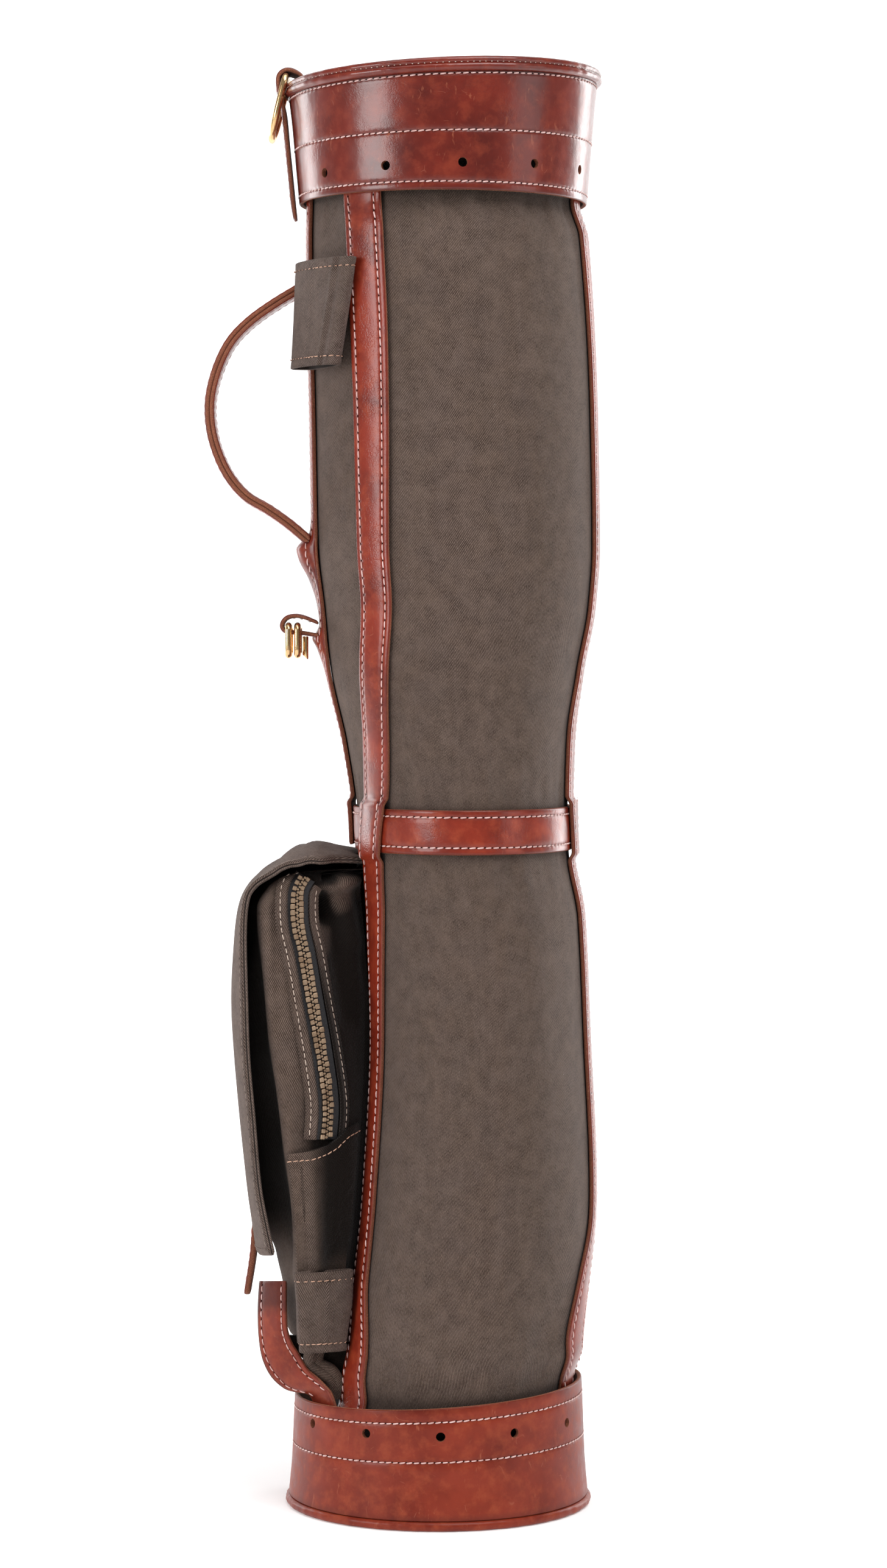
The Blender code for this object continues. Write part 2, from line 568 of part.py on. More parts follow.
def pocket_body():
    """The ball pocket: a canvas shell, closed towards the outside, its open back against the tube."""
    heights = [row[0] for row in POCKET]
    item = loft("pocket_body", [pocket_loop(height) for height in heights], "canvas")
    low, high = heights[0] + POCKET_WALL, heights[-1] - POCKET_WALL
    inner_heights = [low] + heights[2:-2] + [high - 0.0015, high]
    hollow = loft("pocket_hollow", [pocket_loop(height, POCKET_WALL) for height in inner_heights], None)
    core_heights = [0.0800] + [row[0] for row in TUBE if 0.0800 < row[0] < 0.4217] + [0.4217]
    core = loft("tube_core", [tube_loop(height, SEAT) for height in core_heights], None)
    for cutter in (core, hollow):
        cutter.hide_render = True
        cutter.display_type = "WIRE"
        cut(item, cutter)
    return item


def side_strip(name, width, thick, lift, finish_name):
    """A strip that follows the zipper's path on the pocket's near side."""
    path = smooth_path([(x, 0.0, z) for x, z in ZIP_PATH], 2)
    loops = []
    for index, point in enumerate(path):
        along = (path[min(index + 1, len(path) - 1)] - path[max(index - 1, 0)]).normalized()
        across = Vector((along.z, 0, -along.x))
        loop = []
        for share, rise in ((-1, 0), (0, 0), (1, 0), (1, thick), (0, thick), (-1, thick)):
            place = point + across * (share * width / 2)
            loop.append(pocket_side(side_share(place.x, place.z), place.z, lift + rise))
        loops.append(loop)
    return loft(name, loops, finish_name)


def side_share(x, height):
    """The share along the pocket's near side at an x, by halving."""
    low, high = 0.0, 1.0
    for _ in range(24):
        middle = (low + high) / 2
        if pocket_side(middle, height).x < x:
            low = middle
        else:
            high = middle
    return (low + high) / 2


def patch_pocket():
    """A flat open pocket on the near side, slack at its hem."""
    shares = [mix(0.03, 0.97, index / 6) for index in range(7)]
    steps = 6
    grids = []
    for rise in (PATCH_THICK, 0.0):
        grid = []
        for step in range(steps + 1):
            row = []
            for share in shares:
                hem = look_up(PATCH_HEM, share)[0]
                height = mix(PATCH_FOOT, hem, step / steps)
                slack = PATCH_SLACK * math.sin(math.pi * (share - 0.03) / 0.94)
                slack *= max(0.0, (height - SLEEVE_LOWER[-1][0] - 0.006) / (hem - SLEEVE_LOWER[-1][0]))
                row.append(pocket_side(share, height, 2 * SEAT + slack + rise))
            grid.append(row)
        grids.append(grid)
    return sheet("patch_pocket", grids[0], grids[1], "canvas")


def sleeve_lower():
    """A flat canvas sleeve over the foot of the patch pocket."""
    def loop(row, thin):
        height, left, right, depth = row
        low = 4 * SEAT + PATCH_THICK
        points = []
        for across, out in squared_ring((thin / 0.018, thin / ((depth - low) / 2))):
            share = mix(left, right, (across + 1) / 2)
            points.append(pocket_side(share, height, mix(low, depth, (out + 1) / 2)))
        return points
    outer = [loop(row, 0.0) for row in SLEEVE_LOWER]
    inner = [loop(row, CANVAS) for row in SLEEVE_LOWER]
    return wall("umbrella_sleeve_lower", outer, inner, "canvas")


def pocket_flap():
    """The doubled canvas flap: crowned along its middle, flat along its edges."""
    outer, inner = [], []
    for row in range(len(FLAP)):
        outer_row, inner_row = [], []
        for across in FLAP_ACROSS:
            crown = 1 - abs(across) ** 2.2
            line = [Vector((mix(edge_x, middle_x, crown), mix(edge_z, middle_z, crown)))
                    for middle_x, middle_z, edge_x, edge_z in FLAP]
            if across > 0:
                line[0].x = mix(line[0].x, FLAP_FAR_ROOT_X, across ** 2)
            along = line[min(row + 1, len(line) - 1)] - line[max(row - 1, 0)]
            inward = Vector((-along.y, along.x)).normalized() * FLAP_THICK
            if row == 0:
                inward = Vector((0, -FLAP_THICK))
            y = FLAP_MIDDLE_Y + FLAP_HALF_WIDTH * across
            outer_row.append(Vector((line[row].x, y, line[row].y)))
            inner_row.append(Vector((line[row].x + inward.x, y, line[row].y + inward.y)))
        outer.append(outer_row)
        inner.append(inner_row)
    return sheet("pocket_flap", outer, inner, "canvas_flap")


def flat_strip(name, rows, middle_y, width, finish_name):
    """A strip of constant width along Y whose two faces are given in side view."""
    loops = []
    for outer_x, outer_z, inner_x, inner_z in rows:
        near, far = middle_y - width / 2, middle_y + width / 2
        loops.append([Vector((outer_x, near, outer_z)), Vector((outer_x, far, outer_z)),
                      Vector((inner_x, far, inner_z)), Vector((inner_x, near, inner_z))])
    return loft(name, loops, finish_name)


def closing_strap():
    """A twisted leather strap, tucked into the cup at its foot."""
    edges = [(Vector(row[:3]), Vector(row[3:])) for row in CLOSING]
    loops = []
    for index, (far, near) in enumerate(edges):
        ahead = edges[min(index + 1, len(edges) - 1)]
        behind = edges[max(index - 1, 0)]
        along = (ahead[0] + ahead[1]) - (behind[0] + behind[1])
        face = along.cross(near - far).normalized() * (CLOSING_THICK / 2)
        middle = (far + near) / 2
        loops.append([far - face, middle - face, near - face, near + face, middle + face, far + face])
    return loft("closing_strap", loops, "leather_light")


def round_tube(name, path, radius, sides, finish_name, ring=False, parent=None, twist=Vector((0, 1, 0))):
    """A round bar along a path; twist is any direction that the path never runs along."""
    loops = []
    count = len(path)
    for index, point in enumerate(path):
        if ring:
            along = (path[(index + 1) % count] - path[index - 1]).normalized()
        else:
            along = (path[min(index + 1, count - 1)] - path[max(index - 1, 0)]).normalized()
        first = along.cross(twist).normalized()
        second = along.cross(first)
        loops.append([point + (first * math.cos(turn) + second * math.sin(turn)) * radius
                      for turn in (2 * math.pi * side / sides for side in range(sides))])
    return loft(name, loops, finish_name, ring=ring, parent=parent)


def arc(centre_across, centre_down, radius, start, stop, steps):
    return [(centre_across + radius * math.cos(math.radians(mix(start, stop, step / steps))),
             centre_down + radius * math.sin(math.radians(mix(start, stop, step / steps))))
            for step in range(steps + 1)]


def pivot_empty(name, x, y, z):
    """An empty on a joint's axis."""
    empty = bpy.data.objects.new(name, None)
    bpy.context.scene.collection.objects.link(empty)
    empty.location = (x, y, z)
    bpy.context.view_layer.update()
    return empty


def d_ring():
    """A D of brass wire. Its straight bar is the pivot, and it hangs down and out from there."""
    flat = arc(RING_HALF - RING_CORNER, RING_CORNER, RING_CORNER, -90, 0, 3)
    flat += arc(0.0, RING_DROP - RING_HALF, RING_HALF, 0, 180, 12)
    flat += arc(-RING_HALF + RING_CORNER, RING_CORNER, RING_CORNER, 180, 270, 3)
    tilt = math.radians(RING_TILT)
    down = Vector((-math.sin(tilt), 0, -math.cos(tilt)))
    pivot = Vector((RING_PIVOT[0], RING_Y, RING_PIVOT[1]))
    path = [pivot + Vector((0, across, 0)) + down * drop for across, drop in flat]
    empty = pivot_empty("d_ring_pivot", *pivot)
    return round_tube("d_ring", path, RING_WIRE, 6, "brass", ring=True, parent=empty,
                      twist=down.cross(Vector((0, 1, 0))))


def clip_ring(name, place):
    """A small rectangular ring hanging in the loop, seen end on from the front."""
    x, z = place
    flat = arc(CLIP_HALF - CLIP_CORNER, CLIP_CORNER, CLIP_CORNER, -90, 0, 3)
    flat += arc(CLIP_HALF - CLIP_CORNER, CLIP_DROP - CLIP_CORNER, CLIP_CORNER, 0, 90, 3)
    flat += arc(-CLIP_HALF + CLIP_CORNER, CLIP_DROP - CLIP_CORNER, CLIP_CORNER, 90, 180, 3)
    flat += arc(-CLIP_HALF + CLIP_CORNER, CLIP_CORNER, CLIP_CORNER, 180, 270, 3)
    path = [Vector((x, CLIP_Y + across, z - drop)) for across, drop in flat]
    empty = pivot_empty(name + "_pivot", x, CLIP_Y, z)
    return round_tube(name, path, CLIP_WIRE, 6, "brass", ring=True, parent=empty, twist=Vector((1, 0, 0)))


def clip_tongue():
    """A short brass tongue under the loop, cut slanting at its foot."""
    y = CLIP_Y - LOOP_WIDTH / 2 + TONGUE_RADIUS + 0.001
    loops = []
    for height, slant in ((TONGUE_TOP, 0.0), (TONGUE_FOOT, 0.0012)):
        loops.append([Vector((TONGUE_X + TONGUE_RADIUS * math.cos(turn), y + TONGUE_RADIUS * math.sin(turn),
                              height - slant * math.cos(turn)))
                      for turn in (2 * math.pi * side / 10 for side in range(10))])
    return loft("clip_tongue", loops, "brass")


def main():
    clear_scene()
    body_tube()
    cuff_holes = (CUFF_HOLE_Z, CUFF_HOLE_START, HOLE_LEAN)
    punched_ring("top_cuff", CUFF_CENTRE_X, CUFF_PROFILE, RIM_RISE, cuff_holes, "leather_dark")
    welt("rim_bead", CUFF_CENTRE_X, RIM_BEAD, RIM_RISE, "leather_dark")
    cup_holes = (CUP_HOLE_Z, CUP_HOLE_START, 0.0)
    punched_ring("bottom_cup", CUP_CENTRE_X, CUP_PROFILE, CUP_RISE, cup_holes, "leather_light")
    welt("base_piping", CUP_CENTRE_X, PIPING, 0.0, "leather_light")
    base_disc()
    waist_band()
    strap("strap_front_left", FRONT_LEFT)
    strap("strap_handle", HANDLE_SIDE, HANDLE_STRAP_FOOT)
    strap("strap_rear_left", REAR_LEFT)
    strap("strap_right", RIGHT)
    handle()
    sleeve_upper()
    pocket_body()
    side_strip("zip_tape", TAPE_WIDTH, TAPE_THICK, 2 * SEAT, "zip_tape")
    side_strip("zip_teeth", TEETH_WIDTH, TEETH_THICK, 3 * SEAT + TAPE_THICK, "zip_metal")
    patch_pocket()
    sleeve_lower()
    pocket_flap()
    flat_strip("flap_billet", [(outer, z, inner, z) for z, outer, inner in BILLET], FLAP_MIDDLE_Y,
               BILLET_WIDTH, "leather")
    closing_strap()
    round_tube("pocket_tail", smooth_path(TAIL_PATH, 2), TAIL_RADIUS, 8, "canvas")
    flat_strip("ring_tab", TAB, RING_Y, TAB_WIDTH, "leather_dark")
    d_ring()
    flat_strip("clip_loop", CLIP_LOOP, CLIP_Y, LOOP_WIDTH, "leather")
    clip_ring("clip_ring_outer", CLIP_OUTER)
    clip_ring("clip_ring_inner", CLIP_INNER)
    clip_tongue()


main()
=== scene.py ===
"""Dresses a small carry golf bag: waxed twill, stitched glossy leather, brass rings and a metal zipper.

Frame: metres, +Z up, the bag standing on the floor. The carrying handle and the ball pocket are on -X.
Azimuths are in degrees about +Z, counted from -Y towards +X. A place on a strip is its station along the
strip, its share across from -1 to 1 and its lift off the strip's seat.
"""
import json
import logging
import math
from dataclasses import dataclass, field
from enum import Enum
from typing import Callable, Sequence

import bmesh
import bpy
import numpy as np
from mathutils import Matrix, Vector

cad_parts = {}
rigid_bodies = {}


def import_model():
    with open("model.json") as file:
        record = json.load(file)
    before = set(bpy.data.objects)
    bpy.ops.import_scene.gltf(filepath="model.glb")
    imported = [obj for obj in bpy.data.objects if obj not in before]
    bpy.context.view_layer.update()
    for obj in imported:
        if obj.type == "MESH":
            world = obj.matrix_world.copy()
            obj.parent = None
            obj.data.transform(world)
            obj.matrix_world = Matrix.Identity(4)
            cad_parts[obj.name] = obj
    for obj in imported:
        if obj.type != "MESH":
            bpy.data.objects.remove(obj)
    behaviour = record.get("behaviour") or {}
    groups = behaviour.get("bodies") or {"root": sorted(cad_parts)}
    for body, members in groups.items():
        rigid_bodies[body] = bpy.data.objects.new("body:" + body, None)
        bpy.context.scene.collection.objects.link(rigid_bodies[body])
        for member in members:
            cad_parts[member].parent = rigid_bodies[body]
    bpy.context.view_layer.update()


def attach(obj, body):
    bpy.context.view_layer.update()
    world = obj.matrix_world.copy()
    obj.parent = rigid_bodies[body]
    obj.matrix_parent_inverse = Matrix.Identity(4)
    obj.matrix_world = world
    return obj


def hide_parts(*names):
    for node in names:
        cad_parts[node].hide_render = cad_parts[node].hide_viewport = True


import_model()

LOG = logging.getLogger("golf_bag")

Array = np.ndarray
Rows = Sequence[Sequence[float]]
Colour = tuple[float, float, float]
Place = Callable[[Array, Array, Array], Array]
Item = bpy.types.Object
Material = bpy.types.Material
Node = bpy.types.Node
Socket = bpy.types.NodeSocket

UV_NAME = "cloth"
# Name of the point attribute that darkens a piece: dirt and edge wear, and painted shade in recesses, gaps
# and under other pieces
GRIME_AND_SHADE = "grime"
# How far a piece stands off what it lies on, and how thick the canvas and the patch pocket are
SEAT, CANVAS, PATCH_THICK = 0.0004, 0.0018, 0.0016
# Edges steeper than this many degrees stay crisp: of a strip, of a punched hole, of a zipper tooth
CRISP_FROM, HOLE_CRISP_FROM, TOOTH_CRISP_FROM = 50.0, 40.0, 25.0
# Half width of the dimple at a needle hole, and the step along which a stitch's facing is measured
NEEDLE_HALF, FACING_STEP = 0.0012, 0.0005
# How many points of a strip's middle line are measured
MEASURES = 600

# Canvas tube: height, left side, right side, half depth
TUBE = (
    (0.006, -0.089, 0.087, 0.088), (0.045, -0.078, 0.079, 0.081), (0.069, -0.0655, 0.0775, 0.0789),
    (0.08, -0.063, 0.0792, 0.0802), (0.099, -0.0575, 0.0857, 0.086), (0.136, -0.0515, 0.0885, 0.089),
    (0.19, -0.0455, 0.0922, 0.0925), (0.2845, -0.041, 0.0882, 0.0945), (0.3586, -0.0455, 0.0848, 0.092),
    (0.3957, -0.0488, 0.0784, 0.0885), (0.4217, -0.05, 0.0776, 0.0875), (0.4625, -0.056, 0.0786, 0.0885),
    (0.507, -0.0662, 0.084, 0.0885), (0.544, -0.0704, 0.0908, 0.0875), (0.5811, -0.0745, 0.0934, 0.0865),
    (0.6553, -0.076, 0.0923, 0.0865), (0.7665, -0.0779, 0.0864, 0.0835), (0.787, -0.0776, 0.0812, 0.0793),
    (0.8, -0.0786, 0.0825, 0.0806), (0.808, -0.0825, 0.0862, 0.0843), (0.855, -0.0874, 0.0914, 0.0894),
)
# Soft hollows (-) and bellies (+): azimuth, height, depth, half width in degrees, half height
FOLDS = (
    (22.0, 0.3, 0.0022, 26.0, 0.07), (18.0, 0.465, -0.0024, 20.0, 0.03), (40.0, 0.105, -0.0028, 14.0, 0.026),
    (24.0, 0.63, 0.0018, 26.0, 0.09), (160.0, 0.3, 0.0022, 30.0, 0.07), (160.0, 0.465, -0.0024, 24.0, 0.03),
    (160.0, 0.63, 0.0018, 30.0, 0.09),
)
RIM_RISE, RIM_LEAN_FROM = 0.004, 0.808
BAND_LOW, BAND_HIGH, BAND_THICK = 0.3989, 0.4247, 0.0024
CUFF_LOW, CUFF_HIGH = 0.788, 0.8553
CUP_HIGH = 0.072
CUFF_HOLES = (0.8032, 7.5, 0.0025)   # height, first azimuth, lean
CUP_HOLES = (0.0556, 1.0, 0.0)
# Degrees between holes, their radius, how long their cutter is and its sides
HOLE_STEP, HOLE_RADIUS, HOLE_REACH, HOLE_SIDES = 30.0, 0.0028, 0.012, 24

# Where the lengthwise straps run: height, then each strap's azimuth: front left, handle, rear left, right
STRAP_RUN = (
    (0.05, -51.0, -96.0, -146.0, 74.0), (0.069, -53.0, -97.0, -146.0, 73.0),
    (0.086, -58.0, -98.0, -146.0, 71.0), (0.108, -62.5, -99.0, -147.0, 66.0),
    (0.143, -69.5, -99.0, -148.0, 73.0), (0.178, -70.4, -99.0, -150.0, 82.0),
    (0.288, -68.2, -99.0, -151.0, 82.5), (0.362, -60.4, -99.0, -150.0, 82.5),
    (0.4093, -55.3, -99.0, -148.0, 82.0), (0.4269, -52.0, -97.0, -147.0, 80.0),
    (0.4712, -43.9, -91.0, -141.0, 80.5), (0.507, -38.5, -88.0, -138.0, 84.0),
    (0.5574, -35.0, -86.0, -137.0, 84.5), (0.6867, -34.5, -86.0, -137.0, 84.0),
    (0.8, -36.3, -86.0, -136.0, 81.0),
)
STRAP_WIDTH, STRAP_THICK, STRAP_LIFT = 0.026, 0.003, 0.0008
STRAP_FOOT, STRAP_HEAD, HANDLE_STRAP_FOOT = 0.052, 0.799, 0.401
FRONT_LEFT_WIDTH = ((0.44, 1.0), (0.485, 0.86), (0.56, 0.84), (0.64, 0.92), (0.72, 1.0))


class Body(Enum):
    """The bodies that pieces ride on."""

    BAG = "bag"
    D_RING = "d_ring"
    OUTER_RING = "clip_ring_outer"
    INNER_RING = "clip_ring_inner"


class Slot(Enum):
    """The record's material slots."""

    CANVAS = "canvas"
    FLAP = "canvas_flap"
    DARK = "leather_dark"
    LEATHER = "leather"
    LIGHT = "leather_light"
    BOARD = "board"
    BRASS = "brass"
    ZIP_METAL = "zip_metal"
    ZIP_TAPE = "zip_tape"


class Run(Enum):
    """The lengthwise straps, each with its column in STRAP_RUN."""

    FRONT_LEFT = 0
    HANDLE = 1
    REAR_LEFT = 2
    RIGHT = 3


class Back(Enum):
    """What the underside of a leather strip shows."""

    FLESH = "flesh"
    GRAIN = "grain"


class Weave(Enum):
    """Whether a cloth strip's stations run up the cloth or across it."""

    UP = "up"
    ACROSS = "across"


def glide(table: Rows, at: Array | float) -> Array:
    """Reads a table smoothly, without overshoot between its rows.

    Args:
        table: rows of a key and its values.
        at: keys to read at.

    Returns:
        The values, in a last axis of their own.
    """
    data = np.array(sorted(table), float)
    keys, values = data[:, 0], data[:, 1:]
    place = np.clip(np.asarray(at, float), keys[0], keys[-1])
    gaps = np.diff(keys)
    pace = np.diff(values, axis=0) / gaps[:, None]
    both, total = pace[:-1] * pace[1:], pace[:-1] + pace[1:]
    middle = np.where(both > 0, 2 * both / np.where(total == 0, 1, total), 0.0)
    slopes = np.vstack([pace[:1], middle, pace[-1:]])
    low = np.clip(np.searchsorted(keys, place, side="right") - 1, 0, len(gaps) - 1)
    gap = gaps[low][..., None]
    t = ((place - keys[low]) / gaps[low])[..., None]
    start = (1 + 2 * t) * (1 - t) ** 2 * values[low] + t * (1 - t) ** 2 * gap * slopes[low]
    stop = t * t * (3 - 2 * t) * values[low + 1] - t * t * (1 - t) * gap * slopes[low + 1]
    return start + stop


def spline(points: Array | Rows, at: Array | float) -> Array:
    """Reads a smooth curve through points.

    Args:
        points: the points, in the last axis but one.
        at: where to read, counted in points from 0.

    Returns:
        The curve's points, one for each value of at.
    """
    data = np.array(points, float)
    first = 2 * data[..., :1, :] - data[..., 1:2, :]
    last = 2 * data[..., -1:, :] - data[..., -2:-1, :]
    ends = np.concatenate([first, data, last], axis=-2)
    count = data.shape[-2]
    place = np.clip(np.asarray(at, float), 0, count - 1)
    low = np.minimum(place.astype(int), count - 2)
    t = (place - low)[..., None]
    a, b, c, d = (np.take(ends, low + step, axis=-2) for step in range(4))
    start = 2 * b + (c - a) * t + (2 * a - 5 * b + 4 * c - d) * t ** 2
    return 0.5 * (start + (3 * b - a - 3 * c + d) * t ** 3)


def mix(first: Array | float, second: Array | float, share: Array | float) -> Array | float:
    """The value part way from first to second."""
    return first + (second - first) * share


def ease(value: Array, low: float, high: float) -> Array:
    """A soft step from 0 at low to 1 at high."""
    t = np.clip((np.asarray(value, float) - low) / (high - low), 0.0, 1.0)
    return t * t * (3 - 2 * t)


def hump(value: Array, half: float) -> Array:
    """A bell that is 1 at 0 and has fallen to about a third at half."""
    return np.exp(-(np.asarray(value, float) / half) ** 2)


def unit(vectors: Array) -> Array:
    """Vectors brought to length 1."""
    return vectors / np.maximum(np.linalg.norm(vectors, axis=-1, keepdims=True), 1e-12)


def stack(*parts: Array | float) -> Array:
    """Joins coordinates into points."""
    return np.stack(np.broadcast_arrays(*parts), axis=-1).astype(float)


def travelled(points: Array) -> Array:
    """Distances along a line of points, from 0 at its first."""
    return np.concatenate([[0.0], np.cumsum(np.linalg.norm(np.diff(points, axis=0), axis=1))])


def beside(flat: Array) -> Array:
    """Unit vectors at right angles to flat ones, on their right."""
    return unit(stack(flat[..., 1], -flat[..., 0]))


def bow(start: Array, middle: Array, stop: Array, share: Array | float) -> Array:
    """Points of a bow from start to stop that is drawn towards middle."""
    return start * (1 - share) ** 2 + middle * 2 * share * (1 - share) + stop * share ** 2


def turn_from(start: Array | float, azimuth: Array) -> Array:
    """Degrees from start round to azimuth, the shorter way."""
    return (azimuth - start + 180) % 360 - 180


def shade(colour: Colour, share: float) -> Colour:
    """A colour darkened to a share of itself."""
    return tuple(share * part for part in colour)


def between(rows: Rows, station: Array, lift: Array, y: Array) -> Array:
    """Points of a strip in side view, from its inner face at lift 0 to its outer one at 1.

    Args:
        rows: outer x and z and inner x and z.
        station: where along the rows.
        lift: share of the strip's thickness.
        y: where across the strip.

    Returns:
        The points.
    """
    lines = spline(rows, station)
    spot = lines[..., 2:] + (lines[..., :2] - lines[..., 2:]) * lift[..., None]
    return stack(spot[..., 0], y, spot[..., 1])


class Skin:
    """The canvas tube's outer face, which most pieces are laid on."""

    @staticmethod
    def point(azimuth: Array | float, height: Array | float, lift: Array | float = 0.0) -> Array:
        """Points on the canvas.

        Args:
            azimuth: degrees from -Y towards +X.
            height: metres above the floor.
            lift: metres off the canvas.

        Returns:
            Points, in a last axis of their own.
        """
        azimuth, height, lift = np.broadcast_arrays(azimuth, height, lift)
        left, right, depth = np.moveaxis(glide(TUBE, height), -1, 0)
        turn = np.radians(azimuth)
        centre, half = (left + right) / 2, (right - left) / 2
        rise = np.array(lift, float)
        for fold_azimuth, fold_height, fold_depth, half_width, half_height in FOLDS:
            across = turn_from(fold_azimuth, azimuth) / half_width
            rise = rise + fold_depth * np.exp(-across ** 2 - ((height - fold_height) / half_height) ** 2)
        normal = unit(stack(np.sin(turn) / half, -np.cos(turn) / depth, 0.0))
        lean = RIM_RISE * np.maximum(0.0, height - RIM_LEAN_FROM) / (TUBE[-1][0] - RIM_LEAN_FROM)
        surface = stack(centre + half * np.sin(turn), -depth * np.cos(turn), height + lean * np.sin(turn))
        return surface + normal * rise[..., None]

    @staticmethod
    def pace(azimuth: Array, height: Array) -> Array:
        """Metres along the canvas for each degree of azimuth."""
        ahead, behind = Skin.point(azimuth + 0.5, height), Skin.point(azimuth - 0.5, height)
        return np.linalg.norm(ahead - behind, axis=-1)

    @staticmethod
    def strap_azimuth(run: Run, height: Array) -> Array:
        """The azimuth of a strap's middle at a height."""
        return glide(STRAP_RUN, height)[..., run.value]

    @staticmethod
    def strap_half(run: Run, height: Array) -> Array:
        """Half a strap's width in degrees at a height."""
        share = glide(FRONT_LEFT_WIDTH, height)[..., 0] if run is Run.FRONT_LEFT else 1.0
        return share * STRAP_WIDTH / 2 / Skin.pace(Skin.strap_azimuth(run, height), height)


def turned(centre: float, radius: Array, azimuth: Array, height: Array, rise: Array | float = 0.0) -> Array:
    """Points round an upright axis, on a ring that leans up towards +X by rise."""
    turn = np.radians(azimuth)
    return stack(centre + radius * np.sin(turn), -radius * np.cos(turn), height + rise * np.sin(turn))


class Nodes:
    """A node tree, with one short call for a new node."""

    def __init__(self, tree: bpy.types.NodeTree) -> None:
        """Takes the tree that nodes are added to."""
        self.tree = tree

    def feed(self, socket: Socket, value: object) -> None:
        """Links a socket to another one, or sets its value."""
        if isinstance(value, Socket):
            self.tree.links.new(value, socket)
        elif isinstance(value, tuple) and socket.type == "RGBA":
            socket.default_value = (*value, 1.0)
        else:
            socket.default_value = value

    def add(self, kind: str, feeds: dict[object, object] | None = None, **settings: object) -> Node:
        """Adds a node.

        Args:
            kind: the node's type.
            feeds: values or sockets for its inputs, by name or number.
            settings: the node's properties.

        Returns:
            The node.
        """
        node = self.tree.nodes.new(kind)
        for name, value in settings.items():
            setattr(node, name, value)
        for key, value in (feeds or {}).items():
            self.feed(node.inputs[key], value)
        return node


class Paint(Nodes):
    """A material's node tree, with short calls for the nodes that the finishes use."""

    def __init__(self, name: str) -> None:
        """Starts a material with its Principled shader."""
        self.material = bpy.data.materials.new(name)
        self.material.use_nodes = True
        super().__init__(self.material.node_tree)
        self.shader = self.tree.nodes["Principled BSDF"]

    def set(self, **values: object) -> None:
        """Feeds the shader's sockets, named in lower case with underscores for spaces."""
        for name, value in values.items():
            wanted = name.replace("_", " ").lower()
            socket = next(each for each in self.shader.inputs if each.name.lower() == wanted)
            self.feed(socket, value)

    def objects(self) -> Socket:
        """Object coordinates."""
        return self.add("ShaderNodeTexCoord").outputs["Object"]

    def cloth(self) -> Socket:
        """The piece's own coordinates on the cloth, in metres."""
        return self.add("ShaderNodeUVMap", uv_map=UV_NAME).outputs[0]

    def grime(self) -> Socket:
        """How dark the piece is at a point, from 0 to 1: dirt and edge wear, and painted shade."""
        return self.add("ShaderNodeAttribute", attribute_name=GRIME_AND_SHADE).outputs["Fac"]

    def axes(self, place: Socket) -> Sequence[Socket]:
        """Coordinates split into their axes."""
        return self.add("ShaderNodeSeparateXYZ", {0: place}).outputs

    def stretch(self, place: Socket, scale: tuple[float, float, float], turn: float = 0.0) -> Socket:
        """Coordinates scaled along each axis and turned about Z, in degrees."""
        feeds = {"Vector": place, "Scale": scale, "Rotation": (0.0, 0.0, math.radians(turn))}
        return self.add("ShaderNodeMapping", feeds).outputs[0]

    def noise(self, place: Socket, size: float, detail: float = 2.0, roughness: float = 0.5,
              distortion: float = 0.0) -> Socket:
        """Soft noise.

        Args:
            place: coordinates in metres.
            size: how far its patches lie apart, in metres.
            detail: octaves.
            roughness: share of each finer octave.
            distortion: how much the patches are twisted.

        Returns:
            A value about 0.5.
        """
        feeds = {"Vector": place, "Scale": 1.0 / size, "Detail": detail, "Roughness": roughness,
                 "Distortion": distortion}
        return self.add("ShaderNodeTexNoise", feeds).outputs[0]

    def cells(self, place: Socket, size: float) -> Socket:
        """Distance to the edges of irregular cells, 0 on an edge."""
        feeds = {"Vector": place, "Scale": 1.0 / size}
        return self.add("ShaderNodeTexVoronoi", feeds, feature="DISTANCE_TO_EDGE").outputs["Distance"]

    def calc(self, operation: str, first: object, second: object = 0.0) -> Socket:
        """One Math node."""
        return self.add("ShaderNodeMath", {0: first, 1: second}, operation=operation).outputs[0]

    def times(self, first: object, second: object) -> Socket:
        """Two values multiplied."""
        return self.calc("MULTIPLY", first, second)

    def wave(self, place: Socket, length: float) -> Socket:
        """A sine along a coordinate, -1 to 1."""
        return self.calc("SINE", self.times(place, 2 * math.pi / length))

    def spread(self, value: Socket, low: float, high: float, to_low: float = 0.0,
               to_high: float = 1.0) -> Socket:
        """Maps low to high onto to_low to to_high, held at the ends."""
        feeds = dict(enumerate((value, low, high, to_low, to_high)))
        return self.add("ShaderNodeMapRange", feeds, clamp=True).outputs[0]

    def blend(self, factor: object, first: object, second: object) -> Socket:
        """Mixes two colours."""
        return self.add("ShaderNodeMix", {0: factor, 6: first, 7: second}, data_type="RGBA").outputs[2]

    def warped(self, place: Socket, size: float, reach: float) -> Socket:
        """Coordinates pushed about by up to reach, in patches of a size."""
        noise = self.add("ShaderNodeTexNoise", {"Vector": place, "Scale": 1.0 / size})
        feeds = {0: noise.outputs["Color"], 1: (2 * reach,) * 3, 2: place}
        return self.add("ShaderNodeVectorMath", feeds, operation="MULTIPLY_ADD").outputs[0]

    def bump(self, height: object, depth: float, over: object = None) -> Socket:
        """A bump of a depth in metres, over another bump if one is given."""
        feeds = {"Strength": 1.0, "Distance": depth, "Height": height}
        if over is not None:
            feeds["Normal"] = over
        return self.add("ShaderNodeBump", feeds).outputs[0]


